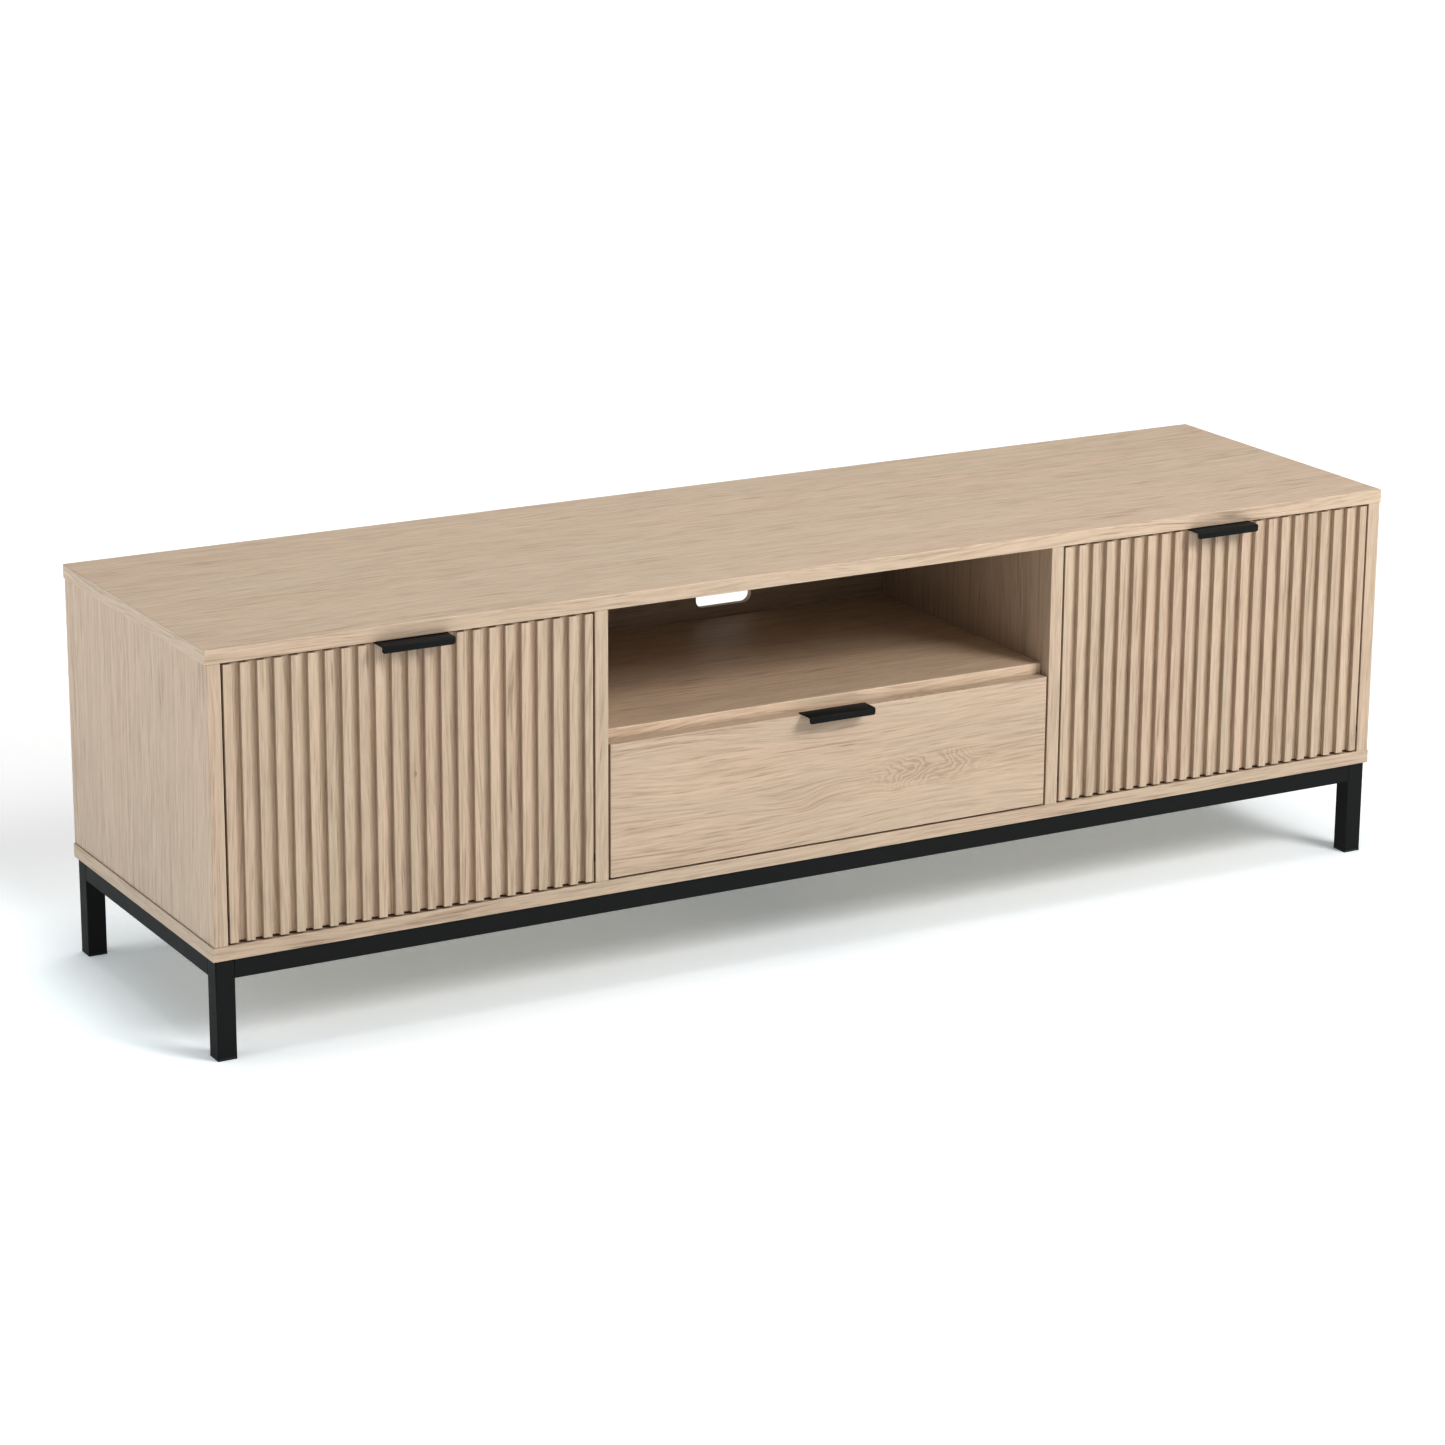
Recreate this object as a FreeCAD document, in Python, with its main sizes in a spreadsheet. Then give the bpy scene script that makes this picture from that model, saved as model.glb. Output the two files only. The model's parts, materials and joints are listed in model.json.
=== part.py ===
import FreeCAD, Part
import math
import os
import Sketcher
from FreeCAD import Placement, Rotation, Vector

# A low media cabinet on a square-tube base: two fluted drop-down doors, an open niche
# and one drawer.  Millimetres, +Z up.  The origin is on the floor, under the middle of
# the cabinet's overall box; -Y is the front.

doc = FreeCAD.newDocument("media_cabinet")
sheet = doc.addObject("Spreadsheet::Sheet", "Sizes")

SIZES = {
    # overall
    "width": 1500, "depth": 400, "height": 450, "board": 16, "base_height": 112,
    "side_inset": 1.5, "niche_width": 569, "shelf_top": 295, "side_gap": 2.5, "end_gap": 2,
    # square-tube base
    "tube": 22, "tube_wall": 1.5, "frame_inset": 3.5, "foot_flange": 3, "foot_plug": 12,
    # back boards and cable cut-out
    "back_board": 8, "back_setback": 364, "back_groove": 4, "cutout_width": 75,
    "cutout_height": 40, "cutout_radius": 10, "cutout_offset": 62, "cutout_rise": 14,
    # fluted doors
    "flutes": 22, "ridge_width": 9.6, "flute_depth": 6, "pivot_rise": 26, "pin_radius": 2.5,
    "pin_play": 0.08, "pin_grip": 9, "bush_radius": 5, "bush_depth": 10, "bush_flange": 1.2,
    "bush_collar": 2,
    # door stays and catches
    "stay_radius": 120, "stay_arm": 11, "stay_sheet": 2, "stay_foot": 16, "stud_radius": 2.5,
    "stud_head": 4, "stud_setback": 12.7, "stud_cap": 1.5, "stud_grip": 10, "stay_play": 0.3,
    "stay_stop": 3.2, "stay_heel": 4, "stay_step": 2, "stay_gap": 1, "stay_rise": 25.6,
    "catch_length": 42, "catch_depth": 14, "catch_height": 12, "catch_air": 0.4,
    "strike_sheet": 0.8, "strike_height": 15, "strike_drop": 3, "catch_bite": 10,
    # edge pulls
    "pull_width": 84, "pull_reach": 18, "pull_sheet": 1.5, "pull_lip": 8, "pull_leg": 10,
    "pull_set": 6.3, "pull_round": 2.5,
    # drawer
    "drawer_top": 282.5, "drawer_board": 12, "box_bottom": 142, "box_height": 112,
    "box_depth": 322, "bottom_sheet": 3, "bottom_rise": 10, "bottom_groove": 5,
    # ball-bearing runners
    "runner_space": 12.5, "runner_length": 300, "runner_height": 35, "runner_sheet": 1.2,
    "runner_level": 198, "runner_air": 0.5, "runner_setback": 3, "fitting_rise": 22,
    "side_cam_floor": 2.5, "back_screw_bite": 26,
    # knock-down fittings and screws
    "dowel_radius": 4, "dowel_length": 30, "dowel_sunk": 10, "cam_radius": 7.5,
    "cam_depth": 12.5, "cam_reach": 24, "bolt_radius": 3, "bolt_sunk": 10,
    "screw_radius": 1.75, "screw_head": 3.6, "screw_cap": 1.6, "screw_length": 12,
    "fitting_front": 50, "fitting_back": 325, "dowel_step": 32, "shelf_step": 20,
    "short_screw": 8, "stay_screw": 9, "slide_screw": 11, "long_screw_head": 4.5,
    "long_screw_cap": 2.2, "long_screw_radius": 2.2, "long_screw_bite": 12,
    "cross_reach": 4.5, "cross_half": 0.6, "cross_depth": 1.5,
}


class Dim:
    """A length that carries its number and its formula in the sheet's own words."""

    def __init__(self, value, text):
        self.value, self.text = value, text

    def join(self, other, sign, value):
        return Dim(value, f"({self.text} {sign} {other.text})")

    def __add__(self, other):
        other = dim(other)
        return self.join(other, "+", self.value + other.value)

    def __sub__(self, other):
        other = dim(other)
        return self.join(other, "-", self.value - other.value)

    def __mul__(self, other):
        other = dim(other)
        return self.join(other, "*", self.value * other.value)

    def __truediv__(self, other):
        other = dim(other)
        return self.join(other, "/", self.value / other.value)

    def __neg__(self):
        return Dim(-self.value, f"(0 - {self.text})")

    __radd__ = __add__
    __rmul__ = __mul__

    def __rsub__(self, other):
        return dim(other) - self


def dim(number):
    return number if isinstance(number, Dim) else Dim(float(number), repr(float(number)))


class Sheet:
    """The sheet's sizes as attributes, each one a Dim."""


size = Sheet()
for row, (word, number) in enumerate(SIZES.items(), start=1):
    sheet.set(f"A{row}", word)
    sheet.set(f"B{row}", str(number))
    sheet.setAlias(f"B{row}", word)
    setattr(size, word, Dim(float(number), f"Sizes.{word}"))
doc.recompute()

nodes = {}


def node(thing, name):
    """Marks an object as a piece of its own, under the name of its file."""
    thing.Label = name
    nodes[name] = thing
    return thing


def bind(thing, **sizes):
    for prop, value in sizes.items():
        thing.setExpression(prop.replace("__", "."), dim(value).text)


def place(thing, x, y, z, turn=None):
    thing.Placement = Placement(Vector(0, 0, 0), turn or Rotation())
    bind(thing, Placement__Base__x=x, Placement__Base__y=y, Placement__Base__z=z)


def box(x, y, z):
    """A block between two limits along each axis."""
    block = doc.addObject("Part::Box", "block")
    bind(block, Length=x[1] - x[0], Width=y[1] - y[0], Height=z[1] - z[0])
    place(block, x[0], y[0], z[0])
    return block


TURNS = {"x": Rotation(Vector(0, 1, 0), 90), "y": Rotation(Vector(1, 0, 0), -90), "z": Rotation()}


def rod(axis, start, length, radius, tip=None):
    """A round bar from start along an axis, or a cone where tip gives its far radius."""
    kind = "Part::Cylinder" if tip is None else "Part::Cone"
    bar = doc.addObject(kind, "bar")
    if tip is None:
        bind(bar, Radius=radius, Height=length)
    else:
        bind(bar, Radius1=radius, Radius2=tip, Height=length)
    place(bar, *[dim(value) for value in start], turn=TURNS[axis])
    return bar


def group(things):
    several = doc.addObject("Part::Compound", "group")
    several.Links = things
    return several


def fuse(things):
    whole = doc.addObject("Part::MultiFuse", "fuse")
    whole.Shapes = things
    whole.Refine = True
    return whole


def cut(base, tools):
    """The base less every tool."""
    result = doc.addObject("Part::Cut", "cut")
    result.Base = base
    result.Tool = tools[0] if len(tools) == 1 else group(tools)
    return result


def span(side, near, far):
    """Limits along X for a piece on the left (-1) or right (+1), from near to far."""
    return (dim(near), dim(far)) if side > 0 else (-dim(far), -dim(near))


# ---------------------------------------------------------------- reference planes

front = (size.pull_reach - size.depth) / 2
back = front + size.depth
floor_top = size.base_height + size.board
roof = size.height - size.board
side_out = size.width / 2 - size.side_inset
side_in = side_out - size.board
niche_in = size.niche_width / 2
bay_in = niche_in + size.board
shelf_low = size.shelf_top - size.board
back_face = front + size.back_setback
whole_depth = (front, back)
SIDES = {"left": -1, "right": 1}


def behind(distance):
    """A depth measured from the front face of the cabinet."""
    return front + distance


# ---------------------------------------------------------------- boards and what is bored in them

class Board:
    """A flat board and the hardware let into it; each fitting leaves its own bore."""

    def __init__(self, name, x, y, z):
        self.name, self.blank, self.bores = name, box(x, y, z), []

    def finish(self):
        node(cut(self.blank, self.bores) if self.bores else self.blank, self.name)


top = Board("top_panel", (-size.width / 2, size.width / 2), whole_depth, (roof, size.height))
bottom = Board("bottom_panel", (-size.width / 2, size.width / 2), whole_depth,
               (size.base_height, floor_top))
shelf = Board("niche_shelf", (-niche_in, niche_in), (behind(size.board + 1), back_face),
              (shelf_low, size.shelf_top))
sides = {word: Board(f"side_panel_{word}", span(side, side_in, side_out), whole_depth,
                     (floor_top, roof)) for word, side in SIDES.items()}
dividers = {word: Board(f"divider_{word}", span(side, niche_in, bay_in), whole_depth,
                        (floor_top, roof)) for word, side in SIDES.items()}

# The three back boards stand in one line of grooves.
groove_y = (back_face, back_face + size.back_board)
grooved_z = (floor_top - size.back_groove, roof + size.back_groove)


def back_blank(x):
    return box((x[0] - size.back_groove, x[1] + size.back_groove), groove_y, grooved_z)


def cable_cutout():
    """The rounded opening for cables, low in the middle back board."""
    low = size.shelf_top + size.cutout_rise
    opening = box((size.cutout_offset - size.cutout_width / 2,
                   size.cutout_offset + size.cutout_width / 2),
                  (back_face - 1, back_face + size.back_board + 1),
                  (low, low + size.cutout_height))
    doc.recompute()
    rounded = doc.addObject("Part::Fillet", "cutout")
    rounded.Base = opening
    radius = size.cutout_radius.value
    edges = [number for number, edge in enumerate(opening.Shape.Edges, start=1)
             if abs(edge.tangentAt(edge.FirstParameter).y) > 0.99]
    rounded.Edges = [(number, radius, radius) for number in edges]
    return rounded


backs = {"left": back_blank((-side_in, -bay_in)), "right": back_blank((bay_in, side_in))}
middle_back = back_blank((-niche_in, niche_in))
node(backs["left"], "back_panel_left")
node(backs["right"], "back_panel_right")
node(cut(middle_back, [cable_cutout()]), "back_panel_centre")
for word in SIDES:
    sides[word].bores.append(backs[word])
    dividers[word].bores += [backs[word], middle_back]
for board in (top, bottom):
    board.bores += [backs["left"], backs["right"], middle_back]

# ---------------------------------------------------------------- knock-down fittings

dowels, bolts, cams = [], [], []


def dowel(axis, start, boards):
    peg = rod(axis, start, size.dowel_length, size.dowel_radius)
    dowels.append(peg)
    for board in boards:
        board.bores.append(peg)


def cam_joint(bolt, cam_disc, slot, held, gripping, bolt_list, cam_list):
    """A bolt screwed into one board, and the cam in the other that draws it tight."""
    held.bores.append(bolt)
    gripping.bores += [cam_disc, bolt]
    bolt_list.append(bolt)
    cam_list.append(cut(cam_disc, [bolt, *slot]))


def cross_slot(axis, centre, face, inward):
    """The driver's cross in a cam's face: two thin blocks square to each other."""
    long, thin, deep = size.cross_reach, size.cross_half, size.cross_depth
    blocks = []
    for reach, width in ((long, thin), (thin, long)):
        limits = {"x": (face, face + inward * deep), "y": (centre[0] - reach, centre[0] + reach),
                  "z": (centre[1] - width, centre[1] + width)}
        if axis == "z":
            limits = {"z": limits["x"], "x": limits["y"],
                      "y": (centre[1] - width, centre[1] + width)}
        ordered = [sorted(limits[key], key=lambda value: value.value) for key in "xyz"]
        blocks.append(box(*ordered))
    return blocks


def upright_joints(board, panel, side, inner, end, up):
    """Two dowels and two cam joints between an upright's end and the top or bottom board."""
    middle = side * (inner + size.board / 2)
    hidden = side * inner if board in sides.values() else side * (inner + size.board)
    inward = side if board in sides.values() else -side
    for y in (behind(size.fitting_front + size.dowel_step),
              behind(size.fitting_back - size.dowel_step)):
        start = end - (size.dowel_length - size.dowel_sunk) if up else end - size.dowel_sunk
        dowel("z", (middle, y, start), (board, panel))
    for y in (behind(size.fitting_front), behind(size.fitting_back)):
        low = end - size.cam_reach if up else end - size.bolt_sunk
        bolt = rod("z", (middle, y, low), size.cam_reach + size.bolt_sunk, size.bolt_radius)
        level = end - size.cam_reach if up else end + size.cam_reach
        start = hidden if inward > 0 else hidden - size.cam_depth
        disc = rod("x", (start, y, level), size.cam_depth, size.cam_radius)
        slot = cross_slot("x", (y, level), hidden, inward)
        cam_joint(bolt, disc, slot, panel, board, bolts, cams)


for word, side in SIDES.items():
    for board, inner in ((sides[word], side_in), (dividers[word], niche_in)):
        upright_joints(board, top, side, inner, roof, True)
        upright_joints(board, bottom, side, inner, floor_top, False)

# The niche shelf hangs between the dividers on the same fittings, cams underneath.
shelf_mid = shelf_low + size.board / 2
for word, side in SIDES.items():
    for y in (behind(size.fitting_front + size.dowel_step + size.shelf_step),
              behind(size.fitting_back - size.dowel_step - size.shelf_step)):
        start = (niche_in - (size.dowel_length - size.dowel_sunk) if side > 0
                 else -niche_in - size.dowel_sunk)
        dowel("x", (start, y, shelf_mid), (shelf, dividers[word]))
    for y in (behind(size.fitting_front + size.shelf_step),
              behind(size.fitting_back - size.shelf_step)):
        start = niche_in - size.cam_reach if side > 0 else -niche_in - size.bolt_sunk
        bolt = rod("x", (start, y, shelf_mid), size.cam_reach + size.bolt_sunk, size.bolt_radius)
        centre = side * (niche_in - size.cam_reach)
        disc = rod("z", (centre, y, shelf_low), size.cam_depth, size.cam_radius)
        slot = cross_slot("z", (centre, y), shelf_low, 1)
        cam_joint(bolt, disc, slot, dividers[word], shelf, bolts, cams)

node(group(dowels), "dowels")
node(group(bolts), "cam_bolts")
node(group(cams), "cam_locks")


def screw(axis, point, direction, length=size.screw_length):
    """A countersunk wood screw: its head under a face at point, its shank going in."""
    head = size.screw_cap
    ahead = direction > 0
    along = "xyz".index(axis)

    def at(distance):
        moved = [dim(value) for value in point]
        moved[along] = moved[along] + distance
        return moved

    shank_start = head if ahead else -length
    cone = rod(axis, at(0 if ahead else -head), head,
               size.screw_head if ahead else size.screw_radius,
               size.screw_radius if ahead else size.screw_head)
    shank = rod(axis, at(shank_start), length - head, size.screw_radius)
    return fuse([cone, shank])


# ---------------------------------------------------------------- sketches and pads

def plane(body, role):
    """One of a body's own origin planes."""
    return next(item for item in body.Origin.OriginFeatures if item.Role == role)


def outline(body, role, points, name="outline"):
    """A closed outline of straight lines, each corner held to the sheet's sizes."""
    sketch = body.newObject("Sketcher::SketchObject", name)
    sketch.AttachmentSupport = (plane(body, role), "")
    sketch.MapMode = "FlatFace"
    add_loop(sketch, points)
    return sketch


def add_loop(sketch, points):
    points = [(dim(across), dim(along)) for across, along in points]
    first = sketch.GeometryCount
    corners = [Vector(across.value, along.value, 0) for across, along in points]
    for index, corner in enumerate(corners):
        following = corners[(index + 1) % len(corners)]
        sketch.addGeometry(Part.LineSegment(corner, following), False)
    for index, (across, along) in enumerate(points):
        line, after = first + index, first + (index + 1) % len(points)
        sketch.addConstraint(Sketcher.Constraint("Coincident", line, 2, after, 1))
        for kind, value in (("DistanceX", across), ("DistanceY", along)):
            number = sketch.addConstraint(Sketcher.Constraint(kind, -1, 1, line, 1, value.value))
            sketch.setExpression(f"Constraints[{number}]", value.text)


def pad(body, sketch, length, mid=False, back_to_front=False):
    feature = body.newObject("PartDesign::Pad", "pad")
    feature.Profile = sketch
    bind(feature, Length=length)
    feature.Midplane = mid
    feature.Reversed = back_to_front
    return feature


def pocket(body, sketch, length, back_to_front=False):
    feature = body.newObject("PartDesign::Pocket", "pocket")
    feature.Profile = sketch
    bind(feature, Length=length)
    feature.Reversed = back_to_front
    return feature


def rectangle(across, along):
    return [(across[0], along[0]), (across[1], along[0]), (across[1], along[1]),
            (across[0], along[1])]


def new_body(name="body"):
    return doc.addObject("PartDesign::Body", name)


# ---------------------------------------------------------------- square-tube base

half = size.tube / 2
leg_x = size.width / 2 - size.frame_inset - half
leg_front = behind(size.frame_inset + half)
leg_back = back - size.frame_inset - half
rail_level = size.base_height - half


def tube(length, centre, turn):
    """A square tube of the base, standing on its own middle and then laid in place."""
    body = new_body("tube")
    inner = half - size.tube_wall
    section = outline(body, "XY_Plane", rectangle((-half, half), (-half, half)))
    add_loop(section, rectangle((-inner, inner), (-inner, inner)))
    pad(body, section, length)
    place(body, *centre, turn=turn)
    return body


def foot(x, y):
    """A plastic foot: a flange as wide as the tube and a plug up inside it."""
    inner = half - size.tube_wall
    flange = box((x - half, x + half), (y - half, y + half), (dim(0), size.foot_flange))
    plug = box((x - inner, x + inner), (y - inner, y + inner),
               (size.foot_flange, size.foot_flange + size.foot_plug))
    return fuse([flange, plug])


for end_word, y in (("front", leg_front), ("back", leg_back)):
    for word, side in SIDES.items():
        x = side * leg_x
        leg = tube(size.base_height - size.foot_flange, (x, y, size.foot_flange), Rotation())
        node(leg, f"leg_{end_word}_{word}")
        node(foot(x, y), f"foot_{end_word}_{word}")

long_rail = (leg_x - half) * 2
short_rail = leg_back - leg_front - size.tube
frame_screws, rail_tubes = [], {}
for end_word, y in (("front", leg_front), ("back", leg_back)):
    rail_tubes[end_word] = tube(long_rail, (half - leg_x, y, rail_level), TURNS["x"])
for word, x in (("left", -leg_x), ("centre", dim(0)), ("right", leg_x)):
    rail_tubes[word] = tube(short_rail, (x, leg_front + half, rail_level), TURNS["y"])


def frame_screw(x, y):
    """A long screw up through a rail into the bottom board, its head under the rail."""
    low = size.base_height - size.tube
    cap = size.long_screw_cap
    head = rod("z", (x, y, low - cap), cap, size.long_screw_head)
    shank = rod("z", (x, y, low), size.tube + size.long_screw_bite, size.long_screw_radius)
    return fuse([head, shank])


SCREW_SHARES = (-0.8, -0.3, 0.3, 0.8)
screw_places = [(end_word, share * leg_x) for end_word in ("front", "back") for share in SCREW_SHARES]
for end_word, x in screw_places:
    y = leg_front if end_word == "front" else leg_back
    fixing = frame_screw(x, y)
    frame_screws.append(fixing)
    bottom.bores.append(fixing)
for word, thing in rail_tubes.items():
    near = [fixing for place_of, fixing in zip(screw_places, frame_screws) if place_of[0] == word]
    node(cut(thing, near) if near else thing, f"rail_{word}")
node(group(frame_screws), "frame_screws")

# ---------------------------------------------------------------- edge pulls

def pull(x, y, z):
    """A bent-metal edge pull: a leg in the board's edge, a plate over it and a lip in front."""
    body = new_body("pull")
    sheet_t = size.pull_sheet
    inner = size.pull_set + sheet_t
    reach = -size.pull_reach
    profile = [(inner, -size.pull_leg), (inner, sheet_t), (reach, sheet_t),
               (reach, sheet_t - size.pull_lip), (reach + sheet_t, sheet_t - size.pull_lip),
               (reach + sheet_t, dim(0)), (size.pull_set, dim(0)), (size.pull_set, -size.pull_leg)]
    section = outline(body, "YZ_Plane", profile)
    bar = pad(body, section, size.pull_width, mid=True)
    doc.recompute()
    corners = []
    for number, edge in enumerate(bar.Shape.Edges, start=1):
        middle = edge.CenterOfMass
        at_lip = abs(middle.y - reach.value - sheet_t.value / 2) < 0.1
        low = abs(middle.z - (sheet_t.value - size.pull_lip.value)) < 0.1
        if at_lip and low and edge.Length < 2 * sheet_t.value:
            corners.append(f"Edge{number}")
    rounded = body.newObject("PartDesign::Fillet", "rounded")
    rounded.Base = (bar, corners)
    bind(rounded, Radius=size.pull_round)
    body.Tip = rounded
    place(body, x, y, z)
    return body


# ---------------------------------------------------------------- drop-down doors

door_low = floor_top + size.end_gap
door_high = roof - size.end_gap
pivot_y = behind(size.board / 2)
pivot_z = door_low + size.pivot_rise
door_face = behind(size.board)
bushes, studs, catch_screws = [], [], []


def fluted_slab(x, width):
    """The door board with its row of upright grooves, ridge first and ridge last."""
    body = new_body("slab")
    height = door_high - door_low
    slab = outline(body, "XY_Plane", rectangle((dim(0), width), (dim(0), size.board)))
    pad(body, slab, height)
    groove = (width - (size.flutes + 1) * size.ridge_width) / size.flutes
    pitch = size.ridge_width + groove
    first = outline(body, "XY_Plane", rectangle((size.ridge_width, pitch),
                                                (dim(0), size.flute_depth)), "groove")
    flute = pocket(body, first, height, back_to_front=True)
    pattern = body.newObject("PartDesign::LinearPattern", "flutes")
    pattern.Originals = [flute]
    pattern.Direction = (first, ["H_Axis"])
    pattern.Occurrences = int(size.flutes.value)
    bind(pattern, Length=pitch * (size.flutes - 1))
    body.Tip = pattern
    place(body, x, front, door_low)
    return body


def stay(side, x_out):
    """A quadrant stay turning with its door, and the fixed stud that runs in its slot."""
    x_in = x_out - size.stay_sheet
    thick = span(side, x_in, x_out)
    radius = size.stay_radius
    arm = size.stay_arm / 2
    bore = size.stud_radius + size.stay_play
    lean = math.degrees(math.acos(size.stud_setback.value / radius.value))
    slack = math.degrees(2 * size.stay_play.value / radius.value)
    wall = math.degrees((bore.value + size.stay_stop.value) / radius.value)

    def sector(inner, outer, first, last):
        """A slice of a ring about the pivot; angles run from straight back to straight up."""
        pieces = []
        for ring in (outer, inner):
            disc = doc.addObject("Part::Cylinder", "sector")
            bind(disc, Radius=ring, Height=thick[1] - thick[0])
            disc.Angle = last - first
            quarter = Rotation(Vector(1, 0, 0), first + 90)
            place(disc, thick[0], pivot_y, pivot_z, turn=quarter.multiply(TURNS["x"]))
            pieces.append(disc)
        return cut(pieces[0], [pieces[1]])

    def knob(angle, around):
        """A round end at an angle along the arm."""
        reach = Vector(0, math.cos(math.radians(angle)), math.sin(math.radians(angle)))
        return rod("x", (thick[0], pivot_y + radius * reach.y, pivot_z + radius * reach.z),
                   thick[1] - thick[0], around)

    first = lean - 90 - slack
    last = lean + slack
    plate_top = math.degrees(math.acos(size.board.value / 2 / (radius.value - arm.value)))
    tip_angle = first - wall + math.degrees(arm.value / radius.value)
    strip = sector(radius - arm, radius + arm, tip_angle, plate_top)
    tip = knob(tip_angle, arm)
    heel_y = (door_face, door_face + size.stay_foot)
    heel_z = (pivot_z + radius - arm - size.stay_heel, pivot_z + radius + arm + size.stay_rise)
    heel = box(thick, heel_y, heel_z)
    foot_x = span(side, x_in - size.stay_foot, x_out)
    foot_z = (pivot_z + radius + arm + size.stay_step, heel_z[1])
    foot_plate = box(foot_x, (door_face, door_face + size.stay_sheet), foot_z)
    slot = [sector(radius - bore, radius + bore, first, last), knob(first, bore), knob(last, bore)]
    return fuse([strip, tip, heel, foot_plate]), slot, foot_x, foot_z


for word, side in SIDES.items():
    door_x = span(side, bay_in + size.side_gap, side_in - size.side_gap)
    width = side_in - bay_in - 2 * size.side_gap
    slab = fluted_slab(door_x[0], width)
    middle = (door_x[0] + door_x[1]) / 2

    handle = pull(middle, front, door_high)
    node(handle, f"handle_{word}")

    # pivot pins at both ends, each turning in a flanged bush
    pins = []
    for board, edge, outward in ((sides[word], door_x[side > 0], side),
                                 (dividers[word], door_x[side < 0], -side)):
        face = edge + outward * size.side_gap
        low = edge - size.pin_grip if outward > 0 else edge - (size.side_gap + size.bush_depth)
        length = size.pin_grip + size.side_gap + size.bush_depth - 1
        pin_start = low if outward > 0 else low + 1
        pin = rod("x", (pin_start, pivot_y, pivot_z), length, size.pin_radius)
        pins.append(pin)
        sleeve = rod("x", (face if outward > 0 else face - size.bush_depth, pivot_y, pivot_z),
                     size.bush_depth, size.bush_radius)
        flange = rod("x", (face - size.bush_flange if outward > 0 else face, pivot_y, pivot_z),
                     size.bush_flange, size.bush_radius + size.bush_collar)
        hole = rod("x", (face - size.bush_flange if outward > 0 else face - size.bush_depth,
                         pivot_y, pivot_z),
                   size.bush_depth + size.bush_flange, size.pin_radius + size.pin_play)
        board.bores.append(sleeve)
        bushes.append(cut(fuse([sleeve, flange]), [hole]))
    node(group(pins), f"pivot_pins_{word}")

    # the stay, its stud and its two screws
    x_out = side_in - size.side_gap - size.stay_gap
    plate, slot, foot_x, foot_z = stay(side, x_out)
    stay_screws = []
    for share in (0.3, 0.75):
        height = foot_z[0] + (foot_z[1] - foot_z[0]) * share
        across = foot_x[0] + size.stay_foot * 0.45 if side > 0 else foot_x[1] - size.stay_foot * 0.45
        stay_screws.append(screw("y", (across, door_face + size.stay_sheet, height), -1,
                                 size.stay_screw))
    node(cut(plate, slot + stay_screws), f"flap_stay_{word}")
    stud_y = pivot_y + size.stud_setback
    stud_z = pivot_z + math.sqrt(size.stay_radius.value ** 2 - size.stud_setback.value ** 2)
    collar_x = (x_out + size.stay_play, side_in)
    neck_x = (x_out - size.stay_sheet - size.stay_play, side_in + size.stud_grip)
    cap_x = (neck_x[0] - size.stud_cap, neck_x[0])
    turned = []
    for ends, around in ((collar_x, size.stud_head), (neck_x, size.stud_radius),
                         (cap_x, size.stud_head)):
        start = span(side, *ends)[0]
        turned.append(rod("x", (start, stud_y, stud_z), ends[1] - ends[0], around))
    stud = fuse(turned)
    studs.append(stud)
    sides[word].bores.append(stud)

    # magnetic catch under the top board, and the strike plate it holds
    catch_y = (door_face + size.strike_sheet + size.catch_air,
               door_face + size.strike_sheet + size.catch_air + size.catch_depth)
    half_catch = size.catch_length / 2
    catch_body = box((middle - half_catch, middle + half_catch), catch_y,
                     (roof - size.catch_height, roof))
    fixings = [screw("z", (middle + share * half_catch, catch_y[0] + size.catch_depth / 2,
                           roof - size.catch_height), 1, size.catch_height + size.catch_bite)
               for share in (-0.6, 0.6)]
    node(cut(catch_body, fixings), f"catch_{word}")
    catch_screws += fixings
    top.bores += fixings
    strike_z = (roof - size.strike_drop - size.strike_height, roof - size.strike_drop)
    strike = box((middle - half_catch / 2, middle + half_catch / 2),
                 (door_face, door_face + size.strike_sheet), strike_z)
    strike_screw = screw("y", (middle, door_face + size.strike_sheet,
                               (strike_z[0] + strike_z[1]) / 2), -1, size.short_screw)
    node(cut(strike, [strike_screw]), f"strike_plate_{word}")
    door_screws = [*stay_screws, strike_screw]
    node(group(door_screws), f"door_screws_{word}")
    node(cut(slab, [handle, *pins, *door_screws]), f"door_{word}")

node(group(bushes), "pivot_bushes")
node(group(studs), "stay_studs")
node(group(catch_screws), "catch_screws")

# ---------------------------------------------------------------- drawer and its runners

box_out = niche_in - size.runner_space
box_in = box_out - size.drawer_board
box_y = (door_face, door_face + size.box_depth)
box_z = (size.box_bottom, size.box_bottom + size.box_height)
front_board = Board("drawer_front", (size.side_gap - niche_in, niche_in - size.side_gap),
                    (front, door_face), (floor_top + size.end_gap, size.drawer_top))
box_sides = {word: Board(f"drawer_side_{word}", span(side, box_in, box_out), box_y, box_z)
             for word, side in SIDES.items()}
box_back = Board("drawer_back", (-box_in, box_in), (box_y[1] - size.drawer_board, box_y[1]), box_z)
sheet_low = size.box_bottom + size.bottom_rise
box_bottom = Board("drawer_bottom", (-box_in - size.bottom_groove, box_in + size.bottom_groove),
                   (door_face - size.bottom_groove,
                    box_y[1] - size.drawer_board + size.bottom_groove),
                   (sheet_low, sheet_low + size.bottom_sheet))
for board in (front_board, box_back, *box_sides.values()):
    board.bores.append(box_bottom.blank)

drawer_pull = pull(dim(0), front, size.drawer_top)
node(drawer_pull, "handle_drawer")
front_board.bores.append(drawer_pull)

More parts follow.
